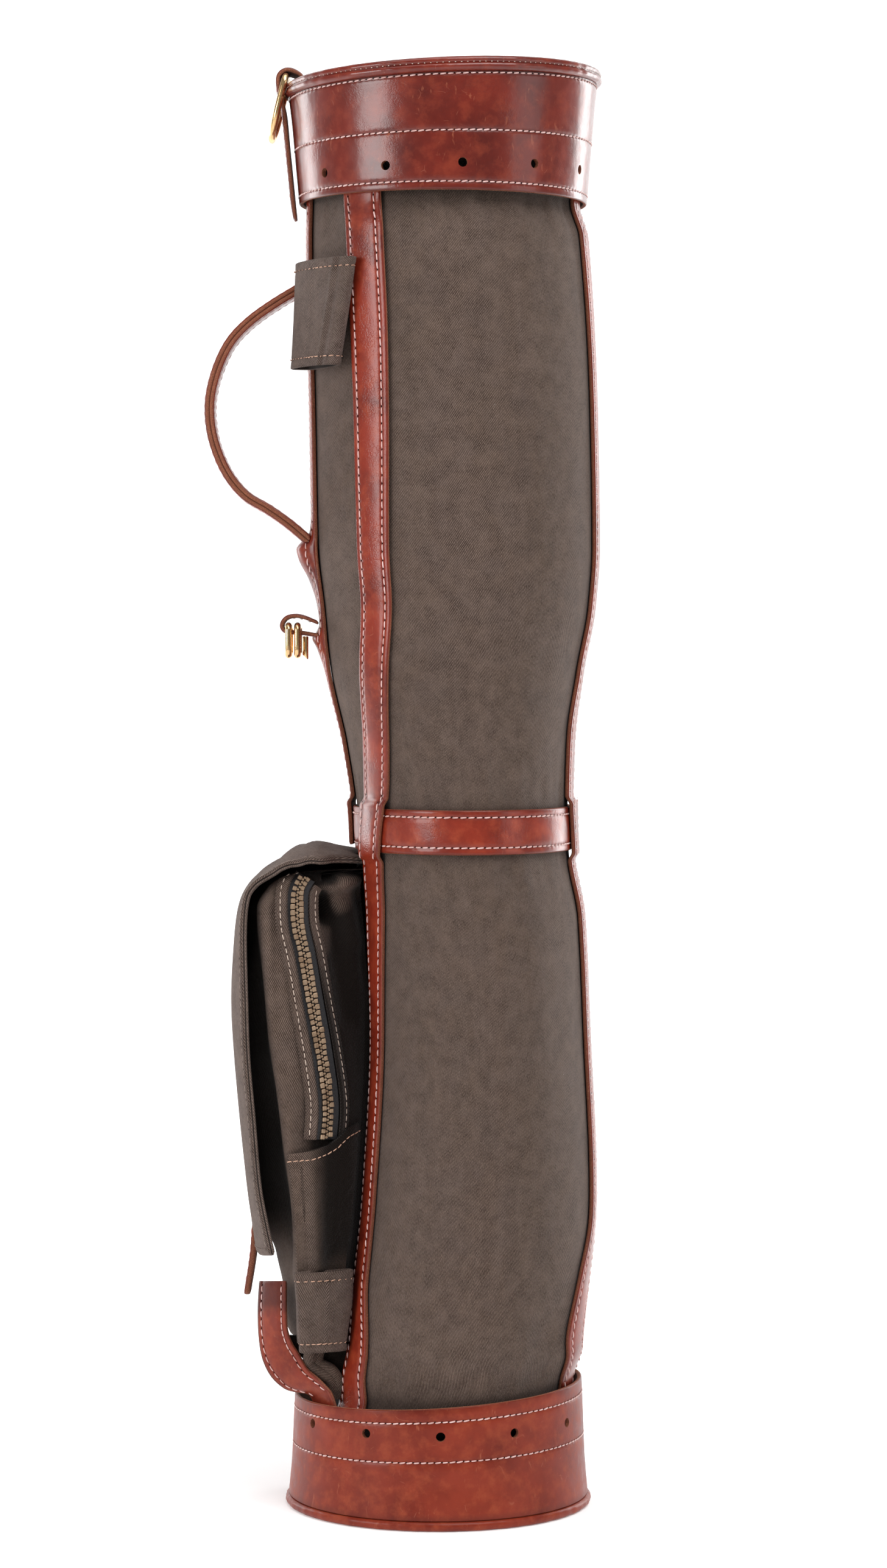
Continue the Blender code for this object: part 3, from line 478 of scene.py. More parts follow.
@dataclass(frozen=True)
class WaxedTwill:
    """Waxed cotton twill: steep ribs, chalky on their backs, over slow streaks, stains and lint."""

    name: str
    body: Colour = (0.16, 0.108, 0.086)
    chalk: Colour = (0.262, 0.19, 0.158)
    shadow: Colour = (0.024, 0.014, 0.01)
    rib: float = 0.00105
    cotangent: float = 0.53
    rib_depth: float = 0.0003

    def make(self) -> Material:
        """Builds the cloth's material, with its ribs in the piece's own coordinates."""
        paint = Paint(self.name)
        cloth, place = paint.cloth(), paint.objects()
        axes = paint.axes(cloth)
        across = paint.calc("ADD", axes[0], paint.times(axes[1], self.cotangent))
        wander = paint.times(paint.noise(cloth, 0.006), 0.9)
        phase = paint.calc("ADD", paint.times(across, 1.0 / self.rib), wander)
        rib = paint.spread(paint.wave(phase, 1.0), -1.0, 1.0)
        yarn = paint.noise(paint.stretch(cloth, (1.0, 0.36, 1.0), -28.0), 0.00062, 2.0, 0.6)
        weave = paint.times(rib, paint.spread(yarn, 0.32, 0.62, 0.45, 1.0))
        streak = paint.noise(paint.stretch(cloth, (1.0, 0.07, 1.0)), 0.0075, 3.0, 0.6)
        stain = paint.noise(place, 0.06, 3.0, 0.55)
        rubbed = paint.times(paint.spread(streak, 0.38, 0.68), paint.spread(stain, 0.35, 0.65, 0.35, 1.0))
        patch = paint.noise(place, 0.016, 3.0, 0.6)
        red, green, blue = self.body
        ground = paint.blend(paint.spread(stain, 0.32, 0.68), shade(self.body, 0.68), self.body)
        warm = (1.05 * red, 0.98 * green, 0.84 * blue)
        ground = paint.blend(paint.spread(patch, 0.36, 0.64), ground, warm)
        ground = paint.blend(paint.times(rubbed, 0.6), ground, self.chalk)
        worn = paint.spread(paint.noise(cloth, 0.011, 3.0, 0.65), 0.34, 0.66, 0.72, 1.0)
        low = paint.times(paint.spread(paint.calc("SUBTRACT", 1.0, weave), 0.15, 0.85), worn)
        colour = paint.blend(low, paint.blend(0.55, ground, self.chalk), self.shadow)
        lint = paint.spread(paint.noise(paint.warped(cloth, 0.004, 0.002), 0.003, 3.0, 0.75), 0.72, 0.8)
        colour = paint.blend(paint.times(lint, 0.6), colour, (0.38, 0.33, 0.29))
        # Painted shade: the cloth goes nearly black where the grime attribute is high, in gaps, recesses and
        # under other pieces, with some dirt along edges
        colour = paint.blend(paint.grime(), colour, shade(self.body, 0.06))
        depth = paint.bump(weave, self.rib_depth)
        depth = paint.bump(paint.noise(cloth, 0.004, 3.0, 0.6), 0.00035, depth)
        paint.set(base_color=colour, roughness=paint.spread(rubbed, 0.0, 1.0, 0.72, 0.88), normal=depth,
                  specular_ior_level=0.1, sheen_weight=0.07, sheen_roughness=0.45)
        return paint.material


@dataclass(frozen=True)
class GlossLeather:
    """Oiled bridle leather: mottled red brown under a gloss that fine net-like creases break up."""

    name: str
    deep: Colour = (0.11, 0.01, 0.005)
    body: Colour = (0.225, 0.024, 0.01)
    warm: Colour = (0.34, 0.058, 0.022)
    gloss: float = 0.35
    gloss_roughness: float = 0.15
    shine: float = 0.28
    roughness: float = 0.0
    net: float = 0.0021
    wave: float = 0.0004
    crackle: float = 0.00002

    def make(self) -> Material:
        """Builds the leather's material on object coordinates."""
        paint = Paint(self.name)
        place = paint.objects()
        cloud = paint.noise(place, 0.034, 4.0, 0.6, 0.3)
        mottle = paint.noise(place, 0.0085, 4.0, 0.62)
        colour = paint.blend(paint.spread(cloud, 0.3, 0.62), self.deep, self.body)
        colour = paint.blend(paint.spread(mottle, 0.46, 0.74, 0.0, 0.55), colour, self.warm)
        scuff_place = paint.stretch(paint.warped(place, 0.018, 0.004), (1.0, 1.0, 0.22))
        scuff = paint.spread(paint.noise(scuff_place, 0.0042, 3.0, 0.7), 0.655, 0.76)
        colour = paint.blend(paint.times(scuff, 0.55), colour, (0.42, 0.125, 0.062))
        line = paint.spread(paint.cells(paint.warped(place, 0.03, 0.012), 0.017), 0.0, 0.016, 1.0, 0.0)
        scratch = paint.times(line, paint.spread(paint.noise(place, 0.007), 0.6, 0.68))
        colour = paint.blend(paint.times(scratch, 0.32), colour, (0.46, 0.15, 0.085))
        fine = paint.cells(paint.warped(place, 0.0034, 0.0011), self.net)
        wide = paint.cells(paint.warped(place, 0.012, 0.004), 0.0062)
        crease = paint.calc("ADD", paint.spread(fine, 0.0, 0.13, 1.0, 0.0),
                            paint.times(paint.spread(wide, 0.0, 0.06, 1.0, 0.0), 0.8))
        shown = paint.times(crease, paint.spread(paint.noise(place, 0.021), 0.42, 0.66, 0.15, 1.0))
        colour = paint.blend(paint.times(shown, 0.16), colour, self.deep)
        # Darkens towards the deep colour by the grime attribute: edge wear, and a painted shadow on the
        # twisted strap's top
        colour = paint.blend(paint.times(paint.grime(), 0.72), colour, shade(self.deep, 0.3))
        pores = paint.noise(place, 0.00055, 2.0, 0.5)
        depth = paint.bump(paint.noise(place, 0.019, 2.0, 0.45), self.wave)
        depth = paint.bump(paint.noise(place, 0.0038, 3.0, 0.55), 0.00005, depth)
        depth = paint.bump(shown, -self.crackle, depth)
        depth = paint.bump(pores, 0.000012, depth)
        paint.set(base_color=colour, normal=depth,
                  roughness=paint.spread(mottle, 0.35, 0.66, 0.3 + self.roughness, 0.46 + self.roughness),
                  specular_ior_level=self.shine, coat_weight=self.gloss, coat_roughness=self.gloss_roughness,
                  coat_normal=depth)
        return paint.material


@dataclass(frozen=True)
class RawEdge:
    """Cut leather: fibrous brown suede."""

    name: str
    body: Colour = (0.3, 0.095, 0.05)
    pale: Colour = (0.52, 0.225, 0.125)
    grain: float = 0.00045

    def make(self) -> Material:
        """Builds the suede's material on object coordinates."""
        paint = Paint(self.name)
        place = paint.objects()
        fibre = paint.noise(place, self.grain, 3.0, 0.7)
        patch = paint.noise(place, 0.007)
        colour = paint.blend(paint.spread(fibre, 0.38, 0.66), shade(self.body, 0.55), self.body)
        lit = paint.times(paint.spread(fibre, 0.52, 0.7), paint.spread(patch, 0.35, 0.65, 0.25, 0.85))
        colour = paint.blend(lit, colour, self.pale)
        # Darkens by the grime attribute: the cut edges' own darker colour, and a painted shadow where a
        # strip's top is shaded
        colour = paint.blend(paint.times(paint.grime(), 0.7), colour, shade(self.body, 0.12))
        paint.set(base_color=colour, roughness=paint.spread(fibre, 0.3, 0.7, 0.66, 0.92),
                  normal=paint.bump(fibre, 0.00022), specular_ior_level=0.3)
        return paint.material


@dataclass(frozen=True)
class Metal:
    """Brass: polished or darkened with age."""

    name: str
    body: Colour
    dull: Colour
    roughness: float
    dulling: float

    def make(self) -> Material:
        """Builds the metal's material, with rubbing marks and a faint tarnish."""
        paint = Paint(self.name)
        place = paint.objects()
        cloud = paint.noise(place, 0.0065, 3.0, 0.6)
        marks = paint.noise(paint.stretch(place, (1.0, 1.0, 0.12)), 0.0008, 2.0, 0.6)
        colour = paint.blend(paint.times(paint.spread(cloud, 0.38, 0.66), self.dulling), self.body, self.dull)
        roughness = paint.spread(cloud, 0.35, 0.7, self.roughness, self.roughness * 1.9)
        depth = paint.bump(paint.noise(place, 0.005), 0.0001)
        paint.set(base_color=colour, metallic=1.0, roughness=roughness,
                  normal=paint.bump(marks, 0.000006, depth))
        return paint.material


@dataclass(frozen=True)
class Thread:
    """Waxed sewing thread, laid in plies."""

    name: str
    body: Colour
    soiled: Colour

    def make(self) -> Material:
        """Builds the thread's material on object coordinates."""
        paint = Paint(self.name)
        place = paint.objects()
        soil = paint.noise(place, 0.011, 3.0, 0.6)
        ply = paint.noise(place, 0.0004, 1.0)
        colour = paint.blend(paint.spread(soil, 0.42, 0.68, 0.0, 0.8), self.body, self.soiled)
        colour = paint.blend(paint.spread(ply, 0.5, 0.7, 0.0, 0.3), colour, self.soiled)
        paint.set(base_color=colour, roughness=paint.spread(ply, 0.3, 0.7, 0.5, 0.75),
                  normal=paint.bump(ply, 0.0001), sheen_weight=0.15)
        return paint.material


@dataclass(frozen=True)
class WovenTape:
    """The zipper's black tape: fine ribs along it and knitted rows across."""

    name: str
    body: Colour = (0.007, 0.0062, 0.008)
    lit: Colour = (0.022, 0.02, 0.025)
    rib: float = 0.0009
    row: float = 0.0007

    def make(self) -> Material:
        """Builds the tape's material in the tape's own coordinates."""
        paint = Paint(self.name)
        cloth = paint.cloth()
        axes = paint.axes(cloth)
        knit = paint.times(paint.wave(axes[0], self.rib), paint.wave(axes[1], self.row))
        dust = paint.spread(paint.noise(cloth, 0.003, 3.0, 0.7), 0.45, 0.75)
        colour = paint.blend(paint.spread(knit, -1.0, 1.0, 0.0, 0.6), self.body, self.lit)
        colour = paint.blend(paint.times(dust, 0.12), colour, (0.09, 0.078, 0.075))
        paint.set(base_color=colour, roughness=paint.spread(dust, 0.0, 1.0, 0.62, 0.85),
                  normal=paint.bump(knit, 0.00008), sheen_weight=0.2)
        return paint.material


@dataclass(frozen=True)
class Plain:
    """A dull surface with slight mottling, such as board or the painted shade of a needle hole."""

    name: str
    body: Colour
    roughness: float = 0.85

    def make(self) -> Material:
        """Builds the material on object coordinates."""
        paint = Paint(self.name)
        mottle = paint.noise(paint.objects(), 0.004, 3.0, 0.6)
        colour = paint.blend(paint.spread(mottle, 0.35, 0.65), shade(self.body, 0.7), self.body)
        roughness = paint.spread(mottle, 0.3, 0.7, self.roughness - 0.1, self.roughness)
        paint.set(base_color=colour, roughness=roughness, normal=paint.bump(mottle, 0.0001),
                  specular_ior_level=0.2)
        return paint.material


class Finishes:
    """Every material of the bag, each made once."""

    def __init__(self) -> None:
        """Makes the materials."""
        self.twill = WaxedTwill("waxed_twill").make()
        self.flap = WaxedTwill("flap_twill", body=(0.19, 0.133, 0.11), chalk=(0.31, 0.232, 0.2)).make()
        self.sleeve = WaxedTwill("sleeve_twill", body=(0.18, 0.124, 0.104), chalk=(0.26, 0.194, 0.168)).make()
        self.cuff = GlossLeather("cuff_leather", deep=(0.09, 0.007, 0.003), body=(0.17, 0.015, 0.006),
                                 warm=(0.27, 0.038, 0.013), gloss=0.9, gloss_roughness=0.21,
                                 shine=0.12).make()
        self.strap = GlossLeather("strap_leather", deep=(0.12, 0.011, 0.005), body=(0.255, 0.027, 0.011),
                                  warm=(0.38, 0.064, 0.024), gloss=0.6, gloss_roughness=0.2, shine=0.12,
                                  roughness=0.08, wave=0.00025, crackle=0.000035).make()
        self.cup = GlossLeather("cup_leather", deep=(0.14, 0.014, 0.006), body=(0.245, 0.03, 0.012),
                                warm=(0.36, 0.07, 0.026), gloss=0.16, gloss_roughness=0.24, shine=0.16,
                                roughness=0.06).make()
        self.edge = RawEdge("raw_edge").make()
        self.flesh = RawEdge("flesh_side", body=(0.23, 0.095, 0.062), pale=(0.52, 0.33, 0.21)).make()
        self.brass = Metal("polished_brass", (0.86, 0.58, 0.3), (0.55, 0.31, 0.13), 0.13, 0.45).make()
        self.zip_metal = Metal("zipper_brass", (0.48, 0.345, 0.235), (0.25, 0.165, 0.105), 0.34, 0.8).make()
        self.tape = WovenTape("zipper_tape").make()
        self.thread = Thread("pink_thread", (0.78, 0.53, 0.5), (0.5, 0.26, 0.22)).make()
        self.hem_thread = Thread("hem_thread", (0.66, 0.4, 0.28), (0.4, 0.2, 0.13)).make()
        self.flap_thread = Thread("flap_thread", (0.42, 0.33, 0.28), (0.25, 0.18, 0.15)).make()
        self.pale_thread = Thread("pale_thread", (0.74, 0.6, 0.5), (0.45, 0.32, 0.26)).make()
        # Near black, the painted shade of each needle hole
        self.hole_shade = Plain("needle_hole", (0.02, 0.007, 0.006)).make()
        self.board = Plain("board", (0.06, 0.045, 0.038)).make()

    def hide(self, grain: Material) -> tuple[Material, Material, Material]:
        """A leather's face, cut edge and flesh side."""
        return grain, self.edge, self.flesh


def link(mesh: bpy.types.Mesh, name: str) -> Item:
    """Puts a mesh in the scene as an object."""
    item = bpy.data.objects.new(name, mesh)
    bpy.context.scene.collection.objects.link(item)
    return item


def loft(name: str, points: Array, finishes: Sequence[Material], ring: bool = False,
         cloth: Array | None = None, slots: Array | None = None, grime: Array | None = None) -> Item:
    """Joins rows of points, each row closed on itself, into one closed body.

    Args:
        name: the piece's name.
        points: rows, columns, coordinates.
        finishes: the piece's materials.
        ring: whether the last row joins the first; otherwise both ends are capped.
        cloth: coordinates on the cloth, with one column more than points, and with ring one row more.
        slots: a material index for each column.
        grime: how dark each point is, from dirt and wear and from painted shade.

    Returns:
        The object, with its faces turned out.
    """
    rows, columns = points.shape[:2]
    row = np.arange(rows if ring else rows - 1)[:, None]
    column = np.arange(columns)[None, :]
    corners = ((row, column), (row, column + 1), (row + 1, column + 1), (row + 1, column))
    numbers = [r % rows * columns + c % columns for r, c in corners]
    faces = np.stack(np.broadcast_arrays(*numbers), -1).reshape(-1, 4)
    lists = faces.tolist()
    if not ring:
        lists += [list(range(columns)), list(range((rows - 1) * columns, rows * columns))]
    mesh = bpy.data.meshes.new(name)
    mesh.from_pydata(points.reshape(-1, 3).tolist(), [], lists)
    if cloth is not None:
        wide = cloth.shape[1]
        corner_uv = np.stack(np.broadcast_arrays(*(r * wide + c for r, c in corners)), -1).reshape(-1)
        flat = cloth.reshape(-1, 2)
        values = [flat[corner_uv]]
        if not ring:
            values += [cloth[0, :columns], cloth[rows - 1, :columns]]
        values = np.concatenate(values).astype(np.float32)
        mesh.uv_layers.new(name=UV_NAME).data.foreach_set("uv", values.ravel())
    if slots is not None:
        index = np.broadcast_to(slots, (row.size, columns)).reshape(-1)
        caps = np.full(len(lists) - len(faces), int(slots[columns // 2 + columns // 4]))
        index = np.concatenate([index, caps])
        mesh.polygons.foreach_set("material_index", index.astype(np.int32))
    if grime is not None:
        values = np.broadcast_to(grime, (rows, columns)).reshape(-1)
        mesh.attributes.new(GRIME_AND_SHADE, "FLOAT", "POINT").data.foreach_set("value", values.astype(np.float32))
    for material in finishes:
        mesh.materials.append(material)
    work = bmesh.new()
    work.from_mesh(mesh)
    inside_out = work.calc_volume(signed=True) < 0
    work.free()
    if inside_out:
        mesh.flip_normals()
    mesh.shade_smooth()
    mesh.set_sharp_from_angle(angle=math.radians(CRISP_FROM))
    mesh.update()
    return link(mesh, name)


def finished(item: Item) -> Item:
    """Turns an object's evaluated shape into its plain mesh and drops its modifiers."""
    bpy.context.view_layer.update()
    graph = bpy.context.evaluated_depsgraph_get()
    mesh = bpy.data.meshes.new_from_object(item.evaluated_get(graph))
    mesh.name = item.name
    item.modifiers.clear()
    item.data = mesh
    return item


def settle(item: Item, body: Body = Body.BAG, replaces: Sequence[str] = ()) -> Item:
    """Makes a piece ride on its body and hides the nodes that it stands for."""
    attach(item, body.value)
    if replaces:
        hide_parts(*replaces)
    triangles = sum(len(face.vertices) - 2 for face in item.data.polygons)
    LOG.info("%s rides on %s: %d triangles", item.name, body.value, triangles)
    return item


@dataclass(frozen=True)
class Section:
    """A flat strip's cross-section: a domed face, grooves under its stitches and softly broken edges.

    rows are the stitch rows' shares across. plies is how many layers its cut edges show.
    """

    width: float
    thick: float
    rows: tuple[float, ...] = ()
    dome: float = 0.0005
    groove: float = 0.00045
    groove_half: float = 0.001
    corner: float = 0.0006
    edge_swell: float = 0.00025
    plies: int = 1
    back: Back = Back.FLESH
    columns: int = 11

    def face(self, share: Array) -> Array:
        """Lift of the face at shares across, from the groove, dome and broken edge."""
        lift = self.thick + self.dome * (1 - np.abs(share) ** 2.4) - self.dome
        for row in self.rows:
            lift = lift - self.groove * hump((share - row) * self.width / 2, self.groove_half)
        from_edge = np.clip((1 - np.abs(share)) * self.width / 2 / self.corner, 0.0, 1.0)
        return lift - self.corner * (1 - np.sqrt(np.maximum(0.0, 1 - (1 - from_edge) ** 2)))

    def shares(self) -> Array:
        """Shares across at which the face has a column, closer at its grooves and edges."""
        half = self.width / 2
        found = list(np.linspace(-1, 1, self.columns))
        for row in self.rows:
            found = [share for share in found if abs(share - row) * half > 0.0022]
            found += [row + step / half for step in (-0.0019, -0.0009, 0.0, 0.0009, 0.0019)]
        found = [share for share in found if (1 - abs(share)) * half > 1.1 * self.corner]
        found += [side * (1 - part * self.corner / half) for side in (-1, 1)
                  for part in (0.0, 0.15, 0.5, 1.0)]
        return np.array(sorted(share for share in found if abs(share) <= 1))

    def outline(self) -> tuple[Array, Array, Array]:
        """Shares, lifts and material indexes round the section.

        Returns:
            Three arrays of one length, the indexes being 0 grain, 1 cut edge and 2 flesh side.
        """
        top = self.shares()
        lifts = self.face(top)
        swell = 1 + 2 * self.edge_swell / self.width
        dip = 1 - 4 * self.edge_swell / self.width
        if self.plies == 2:
            side = ((swell, 0.8), (swell, 0.64), (1.0, 0.545), (dip, 0.5), (1.0, 0.455), (swell, 0.36),
                    (swell, 0.2))
        else:
            side = ((swell, 0.6), (swell, 0.35))
        if self.back is Back.GRAIN:
            under, under_lifts = top[::-1], self.thick - lifts[::-1]
            under_slot = 0
        else:
            under = np.array([0.985, 0.6, 0.0, -0.6, -0.985])
            under_lifts = np.zeros(5)
            under_slot = 2
        right = np.array([[share, part * self.thick] for share, part in side])
        left = np.array([[-share, part * self.thick] for share, part in reversed(side)])
        shares = np.concatenate([top, right[:, 0], under, left[:, 0]])
        heights = np.concatenate([lifts, right[:, 1], under_lifts, left[:, 1]])
        counts = (len(top) - 1, len(right) + 1, len(under) - 1, len(left) + 1)
        return shares, heights, np.repeat((0, 1, under_slot, 1), counts)


@dataclass
class Seam:
    """A row of stitches: where they lie and which way their cloth or leather faces."""

    points: Array
    normals: Array
    ring: bool = False


@dataclass
class Strip:
    """A strip laid by a rule that turns a station, a share across and a lift into a point.

    pitch is the stitches' spacing; the face is pulled in by dimple at the needle holes between them.
    round_end is how far its last end is rounded in plan.
    """

    name: str
    place: Place
    section: Section
    start: float
    stop: float
    step: float = 0.0014
    pitch: float = 0.005
    dimple: float = 0.00022
    ring: bool = False
    round_end: float = 0.0
    weave: Weave = Weave.UP
    twill: float = 1.0
    edge_grime: float = 0.55
    # Painted shade laid on by station and share, added to the edge wear
    grime: Callable[[Array, Array], Array] | None = None

    def __post_init__(self) -> None:
        """Measures the strip's middle line, and fits whole stitches to it."""
        self.stations = np.linspace(self.start, self.stop, MEASURES)
        middle = self.place(self.stations, np.zeros(MEASURES), np.full(MEASURES, self.section.thick))
        self.reach = travelled(middle)
        self.length = float(self.reach[-1])
        self.count = max(1, round(self.length / self.pitch))
        self.spacing = self.length / self.count

    def station(self, distance: Array) -> Array:
        """Stations at distances along the middle line."""
        return np.interp(distance, self.reach, self.stations)

    def distances(self) -> Array:
        """Distances of the mesh's rows, closer at a rounded end."""
        rows = max(3, math.ceil(self.length / self.step))
        if self.ring:
            return np.arange(rows) * self.length / rows
        found = list(np.linspace(0, self.length, rows + 1))
        if self.round_end:
            found = [each for each in found if self.length - each > 0.8 * self.round_end]
            parts = (0.0, 0.02, 0.08, 0.18, 0.32, 0.5, 0.72)
            found += [self.length - part * self.round_end for part in parts]
        return np.array(sorted(found))

    def narrowing(self, distances: Array) -> Array:
        """Share of the full width at distances along, less than 1 at a rounded end."""
        if not self.round_end:
            return np.ones_like(distances)
        inner = np.clip(1 - (self.length - distances) / self.round_end, 0.0, 1.0)
        reach = np.minimum(self.round_end / (self.section.width / 2), 1.0)
        return np.maximum(1 - reach * (1 - np.sqrt(np.maximum(0.0, 1 - inner ** 2))), 0.04)

    def build(self, grain: Material, edge: Material | None = None, flesh: Material | None = None) -> Item:
        """Makes the strip's mesh.

        Args:
            grain: material of its face.
            edge: material of its cut edges, by default the face's.
            flesh: material of its underside, by default the face's.

        Returns:
            The object, with the strip's own coordinates in metres.
        """
        shares, lifts, slots = self.section.outline()
        distances = self.distances()
        rows, columns = len(distances), len(shares)
        spots = np.array(self.section.rows or (9.0,))
        width = self.section.width / 2
        near = hump((shares[:, None] - spots) * width, NEEDLE_HALF).sum(axis=1)
        near[slots[np.minimum(np.arange(columns), len(slots) - 1)] > 0] = 0.0
        pulled = (0.5 - 0.5 * np.cos(2 * np.pi * distances / self.spacing)) ** 3
        lift = lifts[None, :] - self.dimple * pulled[:, None] * near[None, :]
        if not self.ring:
            away = np.minimum(distances, self.length - distances)[:, None]
            soft = ease(away, -0.0004, 0.0009)
            lift = mix(self.section.thick / 2, lift, 0.35 + 0.65 * soft)
        across = shares[None, :] * self.narrowing(distances)[:, None]
        stations = np.broadcast_to(self.station(distances)[:, None], (rows, columns))
        points = self.place(stations, across, lift)
        around = np.hypot(np.diff(np.append(shares, shares[0])) * width, np.diff(np.append(lifts, lifts[0])))
        u = np.concatenate([[0.0], np.cumsum(around)]) - float(around[:len(self.section.shares()) // 2].sum())
        v = np.append(distances, self.length) if self.ring else distances
        cloth = stack(self.twill * u[None, :], v[:, None])
        if self.weave is Weave.ACROSS:
            cloth = cloth[..., ::-1]
        edges = self.edge_grime * (hump((1 - np.abs(shares)) * width, 0.0011) * (slots == 0) + 0.5 * near)
        edges = edges + 0.9 * ((slots == 1) & (np.abs(shares) < 0.9999))
        grime = np.broadcast_to(edges[None, :], (rows, columns))
        # Adds the painted shade that the strip is given
        if self.grime:
            grime = grime + self.grime(stations, across)
        finishes = (grain, edge or grain, flesh or grain)
        return loft(self.name, points, finishes, self.ring, cloth, slots, np.clip(grime, 0, 1))

    def seam(self, share: float, first: float = 0.0, last: float = 0.0, under: bool = False) -> Seam:
        """A row of stitches along the strip.

        Args:
            share: where it runs, across the strip.
            first: how far from the strip's start it begins, in metres.
            last: how far from its end it stops.
            under: whether it is on the underside.

        Returns:
            The seam, its stitches between the dimples.
        """
        along = np.arange(self.count + (not self.ring)) * self.spacing
        if not self.ring:
            along = along[(along >= first - 1e-6) & (along <= self.length - last + 1e-6)]
        stations = self.station(along)
        shares = np.full(len(along), share)
        raised = float(self.section.face(np.array([share]))[0]) + 0.00012
        below = self.section.thick - raised if self.section.back is Back.GRAIN else -0.0001
        lift = below if under else raised
        step = -FACING_STEP if under else FACING_STEP
        low = self.place(stations, shares, np.full(len(along), lift))
        high = self.place(stations, shares, np.full(len(along), lift + step))
        return Seam(low, unit(high - low), self.ring)


class NodeRule(Nodes):
    """A Geometry Nodes tree and its named inputs."""

    def __init__(self, name: str, inputs: dict[str, str]) -> None:
        """Starts a tree.

        Args:
            name: the tree's name.
            inputs: socket kinds by input name.
        """
        super().__init__(bpy.data.node_groups.new(name, "GeometryNodeTree"))
        face = self.tree.interface
        face.new_socket("Geometry", in_out="INPUT", socket_type="NodeSocketGeometry")
        self.sockets = {key: face.new_socket(key, in_out="INPUT", socket_type="NodeSocket" + kind).identifier
                        for key, kind in inputs.items()}
        face.new_socket("Geometry", in_out="OUTPUT", socket_type="NodeSocketGeometry")
        self.start = self.add("NodeGroupInput")
        self.end = self.add("NodeGroupOutput")

    def apply(self, item: Item, values: dict[str, object]) -> Item:
        """Runs the tree on an object and keeps the result as its plain mesh."""
        modifier = item.modifiers.new("rule", "NODES")
        for key, value in values.items():
            modifier[self.sockets[key]] = value
        modifier.node_group = self.tree
        for key, value in values.items():
            modifier[self.sockets[key]] = value
        return finished(item)


class RowRule(NodeRule):
    """Sets one small template along rows of points, facing the way the rows do."""

    def __init__(self) -> None:
        """Builds the tree: rows to curves, one template at each point, then their materials."""
        super().__init__("template_row", {
            "Template": "Object", "Size": "Vector", "Slant": "Float", "Wobble": "Float", "Seed": "Int",
            "Main": "Material", "Second": "Material",
        })
        given = self.start.outputs
        curve = self.add("GeometryNodeMeshToCurve", {"Mesh": given["Geometry"]}).outputs[0]
        normal = self.add("GeometryNodeInputNamedAttribute", {"Name": "facing"}, data_type="FLOAT_VECTOR")
        tangent = self.add("GeometryNodeInputTangent").outputs[0]
        facing = self.add("FunctionNodeAxesToRotation", {0: normal.outputs[0], 1: tangent},
                          primary_axis="Z", secondary_axis="X").outputs[0]
        limits = {0: given["Slant"], 1: given["Wobble"]}
        least = self.add("ShaderNodeMath", limits, operation="SUBTRACT").outputs[0]
        most = self.add("ShaderNodeMath", limits, operation="ADD").outputs[0]
        feeds = {2: least, 3: most, "Seed": given["Seed"]}
        angle = self.add("FunctionNodeRandomValue", feeds, data_type="FLOAT")
        turn = self.add("FunctionNodeAxisAngleToRotation", {"Angle": angle.outputs[1]}).outputs[0]
        feeds = {0: facing, 1: turn}
        rotation = self.add("FunctionNodeRotateRotation", feeds, rotation_space="LOCAL").outputs[0]
        vary = self.add("FunctionNodeRandomValue", {2: 0.9, 3: 1.1, "Seed": given["Seed"]}, data_type="FLOAT")
        feeds = {0: given["Size"], "Scale": vary.outputs[1]}
        size = self.add("ShaderNodeVectorMath", feeds, operation="SCALE")
        template = self.add("GeometryNodeObjectInfo", {"Object": given["Template"]}).outputs["Geometry"]
        copies = self.add("GeometryNodeInstanceOnPoints", {"Points": curve, "Instance": template,
                                                           "Rotation": rotation, "Scale": size.outputs[0]})
        real = self.add("GeometryNodeRealizeInstances", {"Geometry": copies.outputs[0]}).outputs[0]
        second = self.add("GeometryNodeInputNamedAttribute", {"Name": "second"}, data_type="BOOLEAN")
        main = self.add("GeometryNodeSetMaterial", {"Geometry": real, "Material": given["Main"]}).outputs[0]
        both = self.add("GeometryNodeSetMaterial", {"Geometry": main, "Selection": second.outputs[0],
                                                    "Material": given["Second"]}).outputs[0]
        self.tree.links.new(both, self.end.inputs[0])


@dataclass(frozen=True)
class Stitch:
    """A stitch's size, its slant in degrees and the seed of its small differences."""

    length: float
    width: float
    slant: float
    wobble: float
    seed: int


